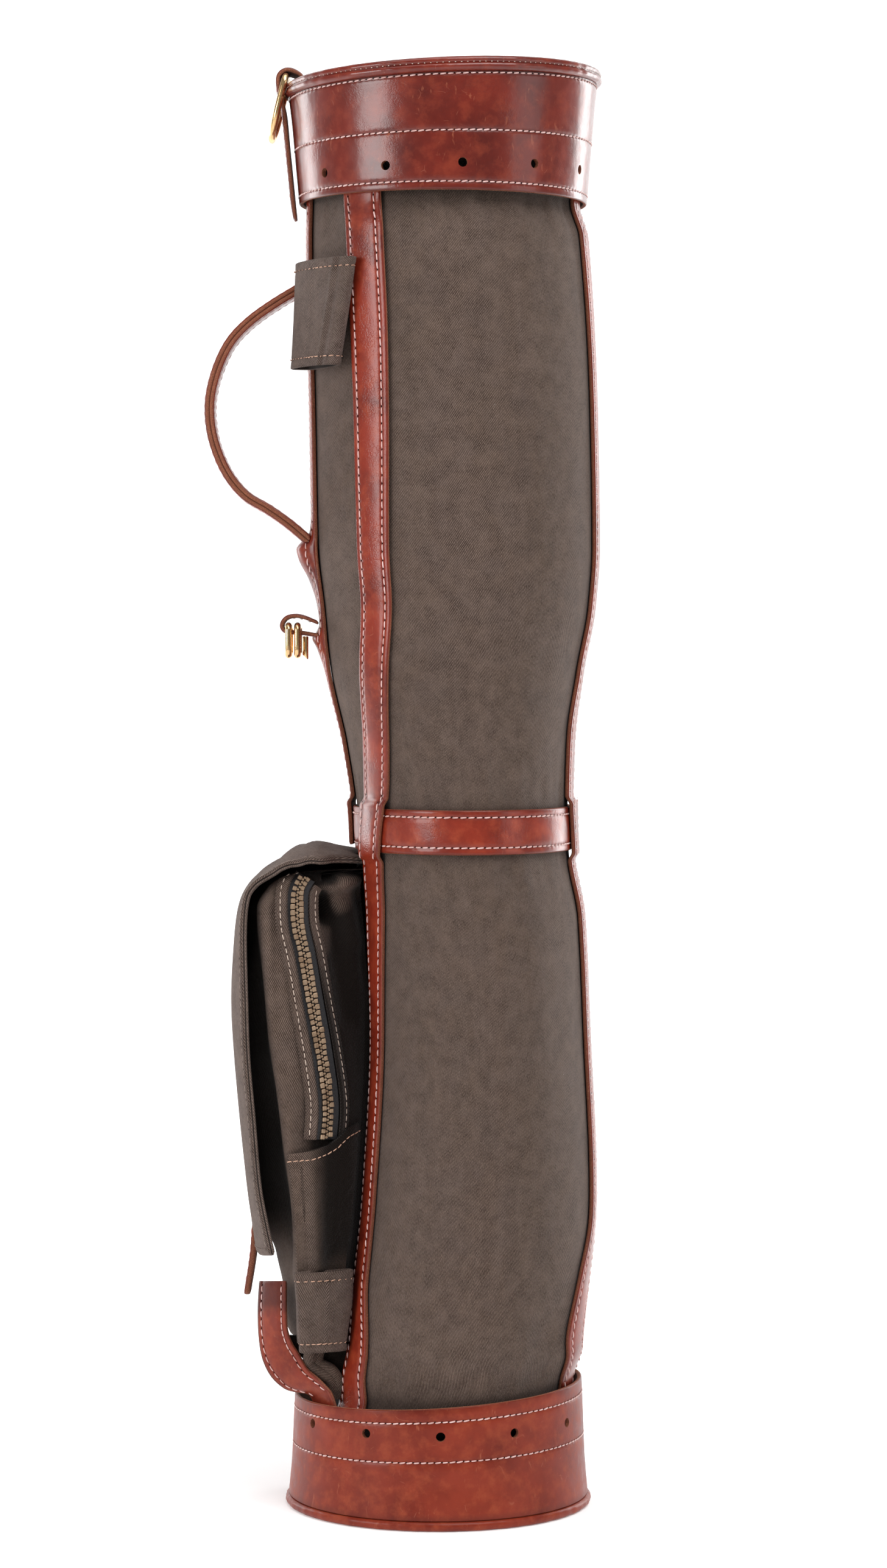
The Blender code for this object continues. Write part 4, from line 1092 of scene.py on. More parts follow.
class Sewing:
    """Makes rows of stitches and of zipper teeth from templates."""

    def __init__(self, finishes: Finishes) -> None:
        """Builds the rule and its templates."""
        self.finishes = finishes
        self.rule = RowRule()
        self.stitch = self.stitch_template()
        self.tooth = self.tooth_template()

    @staticmethod
    def template(name: str, work: bmesh.types.BMesh, second: set[int]) -> Item:
        """Puts a template in the scene, its second material's faces marked."""
        mesh = bpy.data.meshes.new(name)
        work.to_mesh(mesh)
        work.free()
        mark = mesh.attributes.new("second", "BOOLEAN", "FACE")
        mark.data.foreach_set("value", [index in second for index in range(len(mesh.polygons))])
        mesh.shade_smooth()
        return link(mesh, name)

    @staticmethod
    def in_order(work: bmesh.types.BMesh) -> bmesh.types.BMesh:
        """The same shape with its faces in one fixed order, which a bevel doesn't keep to."""
        work.verts.index_update()
        loops = []
        for face in work.faces:
            loop = [point.index for point in face.verts]
            first = loop.index(min(loop))
            loops.append(loop[first:] + loop[:first])
        fixed = bmesh.new()
        points = [fixed.verts.new(point.co) for point in work.verts]
        for loop in sorted(loops):
            fixed.faces.new([points[index] for index in loop])
        work.free()
        return fixed

    def stitch_template(self) -> Item:
        """One stitch of unit length along X, bowed down into its holes, and a dark dot after it as painted
        shade of the needle hole.
        """
        work = bmesh.new()
        stations = ((-0.5, 0.2), (-0.43, 0.4), (-0.25, 0.5), (0.0, 0.52), (0.25, 0.5), (0.43, 0.4),
                    (0.5, 0.2))
        turns = [2 * math.pi * side / 6 for side in range(6)]
        rings = []
        for x, radius in stations:
            sink = -0.95 * abs(2 * x) ** 2.6
            rings.append([work.verts.new((x, radius * math.cos(turn),
                                          0.85 * radius * math.sin(turn) + 0.3 + 0.3 * sink))
                          for turn in turns])
        for first, second in zip(rings, rings[1:]):
            for side in range(6):
                work.faces.new((first[side], second[side], second[(side + 1) % 6], first[(side + 1) % 6]))
        work.faces.new(rings[0])
        work.faces.new(rings[-1][::-1])
        # A dark dot, the painted shade inside the needle hole
        hole_from = len(work.faces)
        hole_x = 0.7
        rim = [work.verts.new((hole_x + 0.15 * math.cos(turn), 0.52 * math.sin(turn), -0.05))
               for turn in turns]
        middle = work.verts.new((hole_x, 0.0, 0.16))
        under = work.verts.new((hole_x, 0.0, -0.3))
        for side in range(6):
            work.faces.new((rim[side], rim[(side + 1) % 6], middle))
            work.faces.new((rim[(side + 1) % 6], rim[side], under))
        bmesh.ops.recalc_face_normals(work, faces=work.faces)
        return self.template("stitch_template", work, set(range(hole_from, hole_from + 12)))

    def tooth_template(self) -> Item:
        """One zipper tooth on +Y: a bevelled block with a round nose at the middle line."""
        work = bmesh.new()
        bmesh.ops.create_cube(work, size=1.0, matrix=Matrix.Translation((0.0, 0.0024, 0.00055))
                              @ Matrix.Diagonal((0.00285, 0.0027, 0.0021, 1.0)))
        bmesh.ops.bevel(work, geom=list(work.edges), offset=0.00032, segments=1, affect="EDGES")
        bmesh.ops.create_cube(work, size=1.0, matrix=Matrix.Translation((0.0, 0.00095, 0.0005))
                              @ Matrix.Diagonal((0.00105, 0.0013, 0.00165, 1.0)))
        bmesh.ops.create_cone(work, cap_ends=True, segments=10, radius1=0.00088, radius2=0.00074,
                              depth=0.0019, matrix=Matrix.Translation((0.0, 0.00022, 0.00066)))
        item = self.template("tooth_template", self.in_order(work), set())
        item.data.set_sharp_from_angle(angle=math.radians(TOOTH_CRISP_FROM))
        return item

    def lay(self, name: str, seams: Sequence[Seam], template: Item, size: tuple[float, float, float],
            slant: float, wobble: float, seed: int, main: Material, second: Material) -> Item:
        """Lays a template along seams.

        Args:
            name: the piece's name.
            seams: the rows.
            template: what is set at each point.
            size: the template's scale.
            slant: turn about the row's facing, in degrees.
            wobble: the most that it differs, in degrees.
            seed: seed of those differences.
            main: the template's material.
            second: material of the template's marked faces.

        Returns:
            The rows as one plain mesh.
        """
        points = np.concatenate([seam.points for seam in seams])
        edges, base = [], 0
        for seam in seams:
            count = len(seam.points)
            edges += [(base + index, base + index + 1) for index in range(count - 1)]
            if seam.ring:
                edges.append((base + count - 1, base))
            base += count
        mesh = bpy.data.meshes.new(name)
        mesh.from_pydata(points.tolist(), edges, [])
        normals = np.concatenate([seam.normals for seam in seams]).astype(np.float32)
        mesh.attributes.new("facing", "FLOAT_VECTOR", "POINT").data.foreach_set("vector", normals.ravel())
        item = link(mesh, name)
        values = {"Template": template, "Size": size, "Slant": math.radians(slant),
                  "Wobble": math.radians(wobble), "Seed": seed, "Main": main, "Second": second}
        return self.rule.apply(item, values)

    def sew(self, name: str, seams: Sequence[Seam], stitch: Stitch, thread: Material) -> Item:
        """Sews seams with one kind of stitch and settles them on the bag."""
        size = (stitch.length, stitch.width, stitch.width)
        item = self.lay(name, seams, self.stitch, size, stitch.slant, stitch.wobble, stitch.seed, thread,
                        self.finishes.hole_shade)
        return settle(item)

    def put_away(self) -> None:
        """Removes the templates."""
        for item in (self.stitch, self.tooth):
            bpy.data.objects.remove(item)


def line_seam(points: Array, normals: Array, pitch: float) -> Seam:
    """Whole stitches along a line of close points."""
    reach = travelled(points)
    along = np.linspace(0, reach[-1], max(2, round(reach[-1] / pitch) + 1))
    place, facing = (np.stack([np.interp(along, reach, each[:, axis]) for axis in range(3)], axis=1)
                     for each in (points, normals))
    return Seam(place, unit(facing))


def hem_seam(place: Place, station: float, reach: float, count: int, thick: float, pitch: float) -> Seam:
    """Whole stitches across a cloth.

    Args:
        place: the rule that lays the cloth.
        station: where the stitches run.
        reach: share across at which they end.
        count: points at which their line is measured.
        thick: the cloth's thickness.
        pitch: the stitches' spacing.

    Returns:
        The seam.
    """
    shares, level = np.linspace(-reach, reach, count), np.full(count, station)
    low, high = (place(level, shares, np.full(count, thick + lift)) for lift in (0.0001, 0.0006))
    return line_seam(low, unit(high - low), pitch)


def punch(item: Item, centre: float, radius: float, holes: tuple[float, float, float],
          edge: Material) -> Item:
    """Punches a ring of holes through a turned leather wall.

    Args:
        item: the wall.
        centre: x of the wall's axis.
        radius: middle radius of the wall.
        holes: height, first azimuth and lean of the ring of holes.
        edge: material of the holes' cut walls.

    Returns:
        The punched wall.
    """
    height, start, lean = holes
    work = bmesh.new()
    for azimuth in np.arange(start, start + 360, HOLE_STEP):
        spot = Vector(turned(centre, radius, azimuth, height, lean))
        turn = Matrix.Rotation(math.radians(azimuth), 4, "Z") @ Matrix.Rotation(math.radians(90), 4, "X")
        bmesh.ops.create_cone(work, cap_ends=True, segments=HOLE_SIDES, radius1=HOLE_RADIUS,
                              radius2=HOLE_RADIUS, depth=HOLE_REACH, matrix=Matrix.Translation(spot) @ turn)
    mesh = bpy.data.meshes.new("punch")
    work.to_mesh(mesh)
    work.free()
    mesh.materials.append(edge)
    cutter = link(mesh, "punch")
    modifier = item.modifiers.new("punch", "BOOLEAN")
    modifier.operation = "DIFFERENCE"
    modifier.object = cutter
    modifier.material_mode = "TRANSFER"
    finished(item)
    bpy.data.objects.remove(cutter)
    item.data.shade_smooth()
    item.data.set_sharp_from_angle(angle=math.radians(HOLE_CRISP_FROM))
    return item


def wire(name: str, path: Array, radius: Array | float, sides: int, finish: Material,
         side_way: Array, ring: bool = False) -> Item:
    """A round bar along a path.

    Args:
        name: the piece's name.
        path: points of its middle line.
        radius: its radius, one number or one for each point.
        sides: points round the bar.
        finish: its material.
        side_way: a direction that the path never runs along.
        ring: whether the path closes on itself.

    Returns:
        The bar.
    """
    if ring:
        along = unit(np.roll(path, -1, axis=0) - np.roll(path, 1, axis=0))
    else:
        along = unit(np.gradient(path, axis=0))
    first = unit(np.cross(along, side_way))
    second = np.cross(along, first)
    turn = np.arange(sides) * 2 * np.pi / sides
    size = np.broadcast_to(radius, (len(path),))[:, None, None]
    around = first[:, None] * np.cos(turn)[None, :, None] + second[:, None] * np.sin(turn)[None, :, None]
    points = path[:, None] + around * size
    reach = travelled(path)
    if ring:
        reach = np.append(reach, reach[-1] + np.linalg.norm(path[0] - path[-1]))
    cloth = stack(np.linspace(0, 2 * np.pi * float(np.mean(radius)), sides + 1)[None, :], reach[:, None])
    return loft(name, points, (finish,), ring, cloth)


def arc(across: float, down: float, radius: float, start: float, stop: float, steps: int) -> Array:
    """Points of an arc, as across and down, its angles in degrees."""
    turn = np.radians(np.linspace(start, stop, steps + 1))
    return stack(across + radius * np.cos(turn), down + radius * np.sin(turn))


@dataclass
class Tube:
    """The canvas tube with its lining side: ribs, puckers at the trim and painted shade, with some dirt,
    where pieces meet.
    """

    around: int = 200
    rows_outside: int = 330
    rows_inside: int = 60
    ribs: int = 512
    rib: float = 0.00105

    def pucker(self, azimuth: Array, height: Array) -> Array:
        """Small hollows gathered by the cuff, the band and the cup; they fade under the straps."""
        turn = np.radians(azimuth)
        wave = np.sin(turn * 17 + 1.3 * np.sin(turn * 3)) * 0.5 + 0.5
        fine = np.sin(turn * 41 + 2.0 * np.sin(turn * 5)) * 0.5 + 0.5
        cuff = 0.0015 * hump(height - 0.778, 0.02) * wave + 0.0006 * hump(height - 0.782, 0.01) * fine
        band = 0.0011 * (hump(height - BAND_LOW + 0.012, 0.012) + hump(height - BAND_HIGH - 0.014, 0.014))
        cup = 0.0012 * hump(height - 0.088, 0.012)
        slow = 0.0006 * (np.sin(height * 61 + 2 * np.sin(turn * 2)) * 0.5 + 0.5)
        hollow = cuff + (band + cup) * mix(fine, wave, 0.65) + slow * (0.4 + 0.6 * wave)
        return -hollow * self.free(azimuth, height)

    @staticmethod
    def free(azimuth: Array, height: Array) -> Array:
        """0 under a strap, 1 well clear of it."""
        clear = np.ones(np.broadcast_shapes(np.shape(azimuth), np.shape(height)))
        for run in Run:
            away = np.abs(turn_from(Skin.strap_azimuth(run, height), azimuth))
            clear = np.minimum(clear, ease(away / Skin.strap_half(run, height), 1.1, 1.7))
        return clear

    @staticmethod
    def darkening(azimuth: Array, height: Array) -> Array:
        """Darkening beside the trim and the straps, painted shade with some dirt, and painted shade under the
        cuff and the cup, seen through the punched holes.
        """
        found = 0.55 * np.exp(-np.maximum(CUFF_LOW - height, 0.0) / 0.006) * (height < CUFF_LOW)
        for edge in (BAND_LOW, BAND_HIGH):
            found = found + 0.35 * np.exp(-np.abs(height - edge) / 0.004)
        found = found + 0.5 * np.exp(-np.maximum(height - CUP_HIGH, 0.0) / 0.006)
        for run in Run:
            half = Skin.strap_half(run, height)
            away = np.abs(turn_from(Skin.strap_azimuth(run, height), azimuth))
            metres = np.maximum(away - half, 0.0) / half * STRAP_WIDTH / 2
            shown = height > (HANDLE_STRAP_FOOT if run is Run.HANDLE else 0.0)
            found = found + 0.45 * np.exp(-metres / 0.0022) * shown
        return np.clip(found, 0.0, 1.0) + (height > CUFF_LOW + 0.004) + (height < CUP_HIGH - 0.006)

    def build(self, finishes: Finishes) -> None:
        """Makes the tube as one wall, open at the mouth and the foot."""
        azimuth = np.arange(self.around) * 360.0 / self.around
        outside = np.linspace(TUBE[0][0], TUBE[-1][0], self.rows_outside)
        inside = np.linspace(TUBE[-1][0], TUBE[0][0], self.rows_inside)
        lift = self.pucker(azimuth[None, :], outside[:, None])
        outer = Skin.point(azimuth[None, :], outside[:, None], lift)
        inner_lift = self.pucker(azimuth[None, :], inside[:, None])
        inner = Skin.point(azimuth[None, :], inside[:, None], inner_lift - CANVAS)
        u = np.arange(self.around + 1) / self.around * self.ribs * self.rib
        v = np.concatenate([outside, inside, outside[:1]])
        # Painted shade with some dirt on the outside, and painted shade inside, darker deeper down
        darkening = self.darkening(azimuth[None, :], outside[:, None])
        inner_shade = np.broadcast_to(0.25 + 0.45 * ease(0.8 - inside, 0.0, 0.25)[:, None], inner.shape[:2])
        item = loft("canvas_tube", np.concatenate([outer, inner]), (finishes.twill,), ring=True,
                    cloth=stack(u[None, :], v[:, None]),
                    grime=np.clip(np.concatenate([darkening, inner_shade]), 0, 1))
        settle(item, replaces=["body_tube"])


@dataclass
class TurnedLeather:
    """The cuff or the cup: a leather wall round the bag, with rows of stitches and a ring of holes."""

    name: str
    node: str
    centre: float
    profile: Rows
    rise: float
    holes: tuple[float, float, float]
    seam_heights: tuple[float, ...]
    slot: Slot
    wall: float = 0.003
    pitch: float = 0.0043
    waves: float = 0.0003

    def place(self, azimuth: Array, share: Array, lift: Array) -> Array:
        """Points on the wall; the share runs up it."""
        low, high = self.profile[0][0], self.profile[-1][0]
        part = (share + 1) / 2
        height = mix(low, high, part)
        turn = np.radians(azimuth)
        waves = self.waves * np.sin(3 * turn + 5 * part) * np.sin(2 * turn)
        radius = glide(self.profile, height)[..., 0] + waves
        return turned(self.centre, radius - self.wall + lift, azimuth, height, self.rise * part)

    def build(self, finishes: Finishes, leather: Material, sewing: Sewing, stitch: Stitch) -> None:
        """Makes the wall, punches its holes and sews its rows."""
        low, high = self.profile[0][0], self.profile[-1][0]
        rows = tuple(2 * (height - low) / (high - low) - 1 for height in self.seam_heights)
        section = Section(high - low, self.wall, rows, dome=0.0003, groove=0.0005, columns=17)
        strip = Strip(self.name, self.place, section, 0.0, 360.0, 0.00125, self.pitch, 0.00028, True)
        item = strip.build(leather, finishes.edge, finishes.flesh)
        radius = float(glide(self.profile, self.holes[0])[..., 0]) - self.wall / 2
        punch(item, self.centre, radius, self.holes, finishes.edge)
        settle(item, replaces=[self.node])
        sewing.sew(self.name + "_stitches", [strip.seam(row) for row in rows], stitch, finishes.thread)


@dataclass
class Welt:
    """A rolled leather ring round the mouth or the foot."""

    name: str
    node: str
    centre: float
    outline: Rows
    rise: float
    slot: Slot
    around: int = 300
    steps: int = 3
    wrinkle: float = 0.00012

    def section(self) -> Array:
        """The roll's outline, smooth through its points."""
        count = len(self.outline)
        wrapped = np.array([self.outline[index % count] for index in range(-1, count + 2)])
        return spline(wrapped, 1 + np.arange(count * self.steps) / self.steps)

    def build(self, leather: Material) -> None:
        """Makes the ring."""
        azimuth = np.arange(self.around) * 360.0 / self.around
        turn = np.radians(azimuth)[:, None]
        outline = self.section()
        ripple = self.wrinkle * (np.sin(67 * turn + 3 * np.sin(4 * turn)) + np.sin(29 * turn))
        radius, height = outline[:, 0] + ripple, outline[:, 1]
        points = turned(self.centre, radius, azimuth[:, None], height, self.rise)
        item = loft(self.name, points, (leather,), True)
        settle(item, replaces=[self.node])


@dataclass
class Mouth:
    """The leather cuff, the rolled rim, the tab over it and the D-ring."""

    centre: float = 0.002
    tab_width: float = 0.025
    tab_thick: float = 0.0029
    tab_row: float = 0.72
    ring_pivot: tuple[float, float] = (-0.0925, 0.8642)
    ring_tilt: float = 13.7
    ring_wire: float = 0.002
    ring_half: float = 0.017
    ring_drop: float = 0.038
    ring_corner: float = 0.005
    # Radius and height of the rim's stitches
    rim_row: tuple[float, float] = (0.0951, 0.8603)
    rim_outline: Rows = (
        (0.0884, 0.856), (0.0905, 0.8555), (0.0932, 0.8554), (0.095, 0.8564), (0.0957, 0.8579),
        (0.0953, 0.8593), (0.0944, 0.8599), (0.095, 0.8607), (0.0953, 0.8621), (0.094, 0.8635),
        (0.0915, 0.864), (0.0893, 0.8631), (0.0883, 0.8608), (0.0882, 0.858),
    )
    # Tab over the rim, from inside the mouth to its tip outside: outer x, z, inner x, z
    tab: Rows = (
        (-0.0795, 0.84, -0.0822, 0.84), (-0.0798, 0.856, -0.0825, 0.856), (-0.0812, 0.864, -0.0838, 0.8632),
        (-0.0862, 0.8685, -0.088, 0.866), (-0.092, 0.8698, -0.0922, 0.867),
        (-0.0968, 0.8676, -0.0948, 0.8655), (-0.099, 0.863, -0.0962, 0.8628),
        (-0.0985, 0.856, -0.0956, 0.856), (-0.0957, 0.844, -0.0927, 0.8435),
        (-0.0938, 0.825, -0.0909, 0.825), (-0.0918, 0.805, -0.0889, 0.805),
        (-0.0902, 0.7885, -0.0873, 0.7885), (-0.0885, 0.7785, -0.0862, 0.779),
    )

    def tab_place(self, station: Array, share: Array, lift: Array) -> Array:
        """Points on the tab."""
        return between(self.tab, station, lift / self.tab_thick, share * self.tab_width / 2)

    def ring_path(self) -> Array:
        """Middle line of the D-ring: a straight bar at its pivot and a round bow below."""
        half, drop, corner = self.ring_half, self.ring_drop, self.ring_corner
        flat = np.concatenate([
            arc(half - corner, corner, corner, -90, 0, 8), arc(0.0, drop - half, half, 0, 180, 40),
            arc(-half + corner, corner, corner, 180, 270, 8),
        ])
        tilt = math.radians(self.ring_tilt)
        down = np.array([-math.sin(tilt), 0.0, -math.cos(tilt)])
        pivot = np.array([self.ring_pivot[0], 0.0, self.ring_pivot[1]])
        return pivot + flat[:, :1] * np.array([0.0, 1.0, 0.0]) + flat[:, 1:] * down

    def build(self, finishes: Finishes, sewing: Sewing) -> None:
        """Makes every piece at the mouth."""
        profile = ((CUFF_LOW, 0.0873), (0.805, 0.0885), (0.84, 0.0915), (CUFF_HIGH, 0.0935))
        cuff = TurnedLeather("leather_cuff", "top_cuff", self.centre, profile, RIM_RISE, CUFF_HOLES,
                             (0.7925, 0.8219, 0.8541), Slot.DARK)
        cuff.build(finishes, finishes.cuff, sewing, Stitch(0.0033, 0.00085, 6.0, 3.0, 11))
        rim = Welt("rolled_rim", "rim_bead", self.centre, self.rim_outline, RIM_RISE, Slot.DARK)
        rim.build(finishes.cuff)
        azimuth = np.linspace(0, 360, 721)
        radius, height = self.rim_row
        dots = turned(self.centre, radius, azimuth, height, RIM_RISE)
        facing = unit(turned(0.0, 1.0, azimuth, 0.35, 0.0))
        sewing.sew("rim_stitches", [line_seam(dots, facing, 0.0036)], Stitch(0.0008, 0.00042, 0.0, 8.0, 5),
                   finishes.pale_thread)
        section = Section(self.tab_width, self.tab_thick, (-self.tab_row, self.tab_row), dome=0.0004)
        tab = Strip("rim_tab", self.tab_place, section, 0.0, len(self.tab) - 1.0, round_end=0.008)
        settle(tab.build(*finishes.hide(finishes.cuff)), replaces=["ring_tab"])
        sewing.sew("tab_stitches", [tab.seam(row, 0.05, 0.012) for row in section.rows],
                   Stitch(0.0034, 0.00085, 4.0, 3.0, 3), finishes.thread)
        path = self.ring_path()
        tilt = math.radians(self.ring_tilt)
        ring = wire("brass_d_ring", path, self.ring_wire, 20, finishes.brass,
                    np.array([math.cos(tilt), 0.0, -math.sin(tilt)]), True)
        settle(ring, Body.D_RING, ["d_ring"])


@dataclass
class Foot:
    """The leather cup, the welt under it and the stiff base."""

    centre: float = -0.001
    welt_outline: Rows = ((0.0886, 0.0004), (0.0912, 0.0003), (0.0926, 0.0014), (0.093, 0.0028),
                          (0.0926, 0.0045), (0.0912, 0.0056), (0.0886, 0.0055), (0.0884, 0.0028))
    disc_radius: float = 0.088
    disc_top: float = 0.0054

    def build(self, finishes: Finishes, sewing: Sewing) -> None:
        """Makes every piece at the foot."""
        profile = ((0.006, 0.0915), (0.03, 0.0892), (CUP_HIGH, 0.0877))
        cup = TurnedLeather("leather_cup", "bottom_cup", self.centre, profile, 0.005, CUP_HOLES,
                            (0.0404, 0.064), Slot.LIGHT)
        cup.build(finishes, finishes.cup, sewing, Stitch(0.0033, 0.00085, 6.0, 3.0, 13))
        welt = Welt("foot_welt", "base_piping", self.centre, self.welt_outline, 0.0, Slot.LIGHT)
        welt.build(finishes.cup)
        azimuth = np.arange(96) * 360.0 / 96
        outline = ((0.0, 0.0005), (0.0003, 0.0), (self.disc_top - 0.0003, 0.0), (self.disc_top, 0.0005))
        loops = [turned(self.centre, self.disc_radius - inset, azimuth, height) for height, inset in outline]
        disc = loft("stiff_base", np.array(loops), (finishes.board,))
        settle(disc, replaces=["base_disc"])


@dataclass
class Harness:
    """The waist band, the lengthwise straps and the carrying handle."""

    inset: float = 0.004
    band_ramp: float = 0.0055
    handle_strap_flat: float = 0.0007
    handle_y: float = -0.006
    handle_width: float = 0.024
    handle_thick: float = 0.0065
    # Handle's middle line, from its upper seat to its lower one: x, z
    handle_path: Rows = (
        (-0.079, 0.7396), (-0.0819, 0.738), (-0.1001, 0.7271), (-0.1153, 0.716), (-0.1267, 0.7035),
        (-0.1345, 0.6869), (-0.1385, 0.6691), (-0.1378, 0.6525), (-0.1337, 0.6374), (-0.1267, 0.6233),
        (-0.1167, 0.6119), (-0.1038, 0.6041), (-0.0912, 0.5953), (-0.079, 0.585),
    )
    # Where the handle strap swells over the handle's end and at the ring loop: height, lift
    swells: Rows = (
        (0.49, 0.0), (0.505, 0.0006), (0.52, 0.0036), (0.5262, 0.0058), (0.53, 0.003), (0.536, 0.0004),
        (0.548, 0.001), (0.562, 0.0038), (0.574, 0.0085), (0.58, 0.0095), (0.585, 0.006), (0.5905, 0.0012),
        (0.6, 0.0),
    )

    def lift(self, height: Array) -> Array:
        """How far a strap stands off the canvas: it climbs over the waist band."""
        away = np.maximum(np.maximum(BAND_LOW - 0.0015 - height, height - BAND_HIGH - 0.0015), 0.0)
        return STRAP_LIFT + (BAND_THICK + SEAT) * (1 - ease(away, 0.0, self.band_ramp))

    def strap_place(self, run: Run) -> Place:
        """The rule that lays a strap on the canvas."""
        def place(height: Array, share: Array, lift: Array) -> Array:
            """Points on the strap."""
            azimuth, half = Skin.strap_azimuth(run, height), Skin.strap_half(run, height)
            swell = glide(self.swells, height)[..., 0] if run is Run.HANDLE else 0.0
            body = 1 - share ** 2
            flat = self.handle_strap_flat * (share ** 2 - 0.9) if run is Run.HANDLE else 0.0
            return Skin.point(azimuth + half * share, height, self.lift(height) + swell * body + flat + lift)
        return place

    def band_place(self, azimuth: Array, share: Array, lift: Array) -> Array:
        """Points on the waist band."""
        return Skin.point(azimuth, mix(BAND_LOW, BAND_HIGH, (share + 1) / 2), SEAT + lift)

    def handle_place(self, station: Array, share: Array, lift: Array) -> Array:
        """Points on the handle."""
        spot = spline(self.handle_path, station)
        out = beside(spline(self.handle_path, station + 0.05) - spline(self.handle_path, station - 0.05))
        spot = spot + out * (lift - self.handle_thick / 2)[..., None]
        return stack(spot[..., 0], self.handle_y + share * self.handle_width / 2, spot[..., 1])

    def build(self, finishes: Finishes, sewing: Sewing) -> None:
        """Makes the band, the straps and the handle, and sews them."""
        share = 1 - 2 * self.inset / (BAND_HIGH - BAND_LOW)
        section = Section(BAND_HIGH - BAND_LOW, BAND_THICK, (-share, share), dome=0.0004)
        band = Strip("leather_band", self.band_place, section, 0.0, 360.0, 0.00125, 0.0048, 0.00022, True)
        settle(band.build(*finishes.hide(finishes.strap)), replaces=["waist_band"])
        sewing.sew("band_stitches", [band.seam(-share), band.seam(share)],
                   Stitch(0.0037, 0.00088, 5.0, 3.0, 17), finishes.thread)
        row = 1 - 2 * self.inset / STRAP_WIDTH
        section = Section(STRAP_WIDTH, STRAP_THICK, (-row, row), dome=0.0006)
        pieces = ((Run.FRONT_LEFT, "front_left_strap", "strap_front_left", STRAP_FOOT),
                  (Run.HANDLE, "handle_strap", "strap_handle", HANDLE_STRAP_FOOT),
                  (Run.REAR_LEFT, "rear_left_strap", "strap_rear_left", STRAP_FOOT),
                  (Run.RIGHT, "right_strap", "strap_right", STRAP_FOOT))
        for run, name, node, foot in pieces:
            strap = Strip(name, self.strap_place(run), section, foot, STRAP_HEAD, dimple=0.00028)
            item = strap.build(*finishes.hide(finishes.strap))
            settle(item, replaces=[node])
            sewing.sew(name + "_stitches", [strap.seam(side, 0.004, 0.012) for side in (-row, row)],
                       Stitch(0.0038, 0.0009, 3.0, 3.0, 19 + run.value), finishes.thread)
        row = 1 - 2 * self.inset / self.handle_width
        section = Section(self.handle_width, self.handle_thick, (-row, row), dome=0.0004, plies=2,
                          back=Back.GRAIN, edge_swell=0.00035)
        grip = Strip("carrying_handle", self.handle_place, section, 0.0, len(self.handle_path) - 1.0, 0.0016)
        settle(grip.build(*finishes.hide(finishes.strap)), replaces=["handle"])
        seams = [grip.seam(side, 0.006, 0.006, under) for side in (-row, row) for under in (False, True)]
        sewing.sew("handle_stitches", seams, Stitch(0.0038, 0.00085, 3.0, 3.0, 29), finishes.thread)


@dataclass
class Clip:
    """The leather loop pulled out of the handle strap, its two brass rings and the tongue beside them."""

    y: float = -0.005
    width: float = 0.018
    thick: float = 0.0027
    wire_radius: float = 0.002
    half: float = 0.013
    drop: float = 0.0178
    corner: float = 0.0035
    outer: tuple[float, float] = (-0.0913, 0.5338)
    inner: tuple[float, float] = (-0.0859, 0.5338)
    # Leather loop: outer x, z, inner x, z, from its upper seat round the rings and back
    loop: Rows = (
        (-0.0739, 0.537, -0.0736, 0.5344), (-0.0815, 0.5402, -0.0818, 0.5376),
        (-0.0873, 0.5412, -0.0873, 0.5386), (-0.093, 0.54, -0.0918, 0.5376),
        (-0.0964, 0.5362, -0.094, 0.535), (-0.0966, 0.5322, -0.0941, 0.5328),
        (-0.094, 0.5292, -0.0925, 0.5314), (-0.089, 0.5284, -0.089, 0.5312),
        (-0.083, 0.528, -0.0832, 0.5308), (-0.0728, 0.5263, -0.0731, 0.5291),
    )
    tongue: tuple[float, float, float] = (-0.0812, 0.5274, 0.5146)
    tongue_radius: float = 0.0018

    def loop_place(self, station: Array, share: Array, lift: Array) -> Array:
        """Points on the loop."""
        return between(self.loop, station, lift / self.thick, self.y + share * self.width / 2)

    def ring_path(self, place: tuple[float, float]) -> Array:
        """Middle line of one rectangular ring with round corners."""
        x, z = place
        wide, deep, corner = self.half - self.corner, self.drop - self.corner, self.corner
        flat = np.concatenate([arc(wide, corner, corner, -90, 0, 7), arc(wide, deep, corner, 0, 90, 7),
                               arc(-wide, deep, corner, 90, 180, 7), arc(-wide, corner, corner, 180, 270, 7)])
        return stack(x, self.y + flat[:, 0], z - flat[:, 1])

    def build(self, finishes: Finishes, sewing: Sewing) -> None:
        """Makes the loop, the rings and the tongue."""
        section = Section(self.width, self.thick, (), dome=0.0003)
        loop = Strip("ring_loop", self.loop_place, section, 0.0, len(self.loop) - 1.0, 0.0008)
        settle(loop.build(*finishes.hide(finishes.strap)), replaces=["clip_loop"])
        sewing.sew("loop_stitches", [loop.seam(-0.74, 0.002, 0.022, True)],
                   Stitch(0.0022, 0.0007, 42.0, 8.0, 31), finishes.pale_thread)
        for name, place, body in (("brass_ring_outer", self.outer, Body.OUTER_RING),
                                  ("brass_ring_inner", self.inner, Body.INNER_RING)):
            ring = wire(name, self.ring_path(place), self.wire_radius, 20, finishes.brass,
                        np.array([1.0, 0.0, 0.0]), True)
            settle(ring, body, [body.value])
        x, top, foot = self.tongue
        spot = self.y - self.width / 2 + self.tongue_radius + 0.001
        heights = np.array([top, top - 0.0004, foot + 0.0008, foot + 0.0003, foot])
        sizes = self.tongue_radius * np.array([0.85, 1.0, 1.0, 0.9, 0.7])
        turn = np.arange(20) * 2 * np.pi / 20
        slant = np.array([0.0, 0.0, 0.0011, 0.0012, 0.0012])[:, None] * np.cos(turn)
        points = stack(x + sizes[:, None] * np.cos(turn), spot + sizes[:, None] * np.sin(turn),
                       heights[:, None] - slant)
        tongue = loft("brass_tongue", points, (finishes.brass,))
        settle(tongue, replaces=["clip_tongue"])


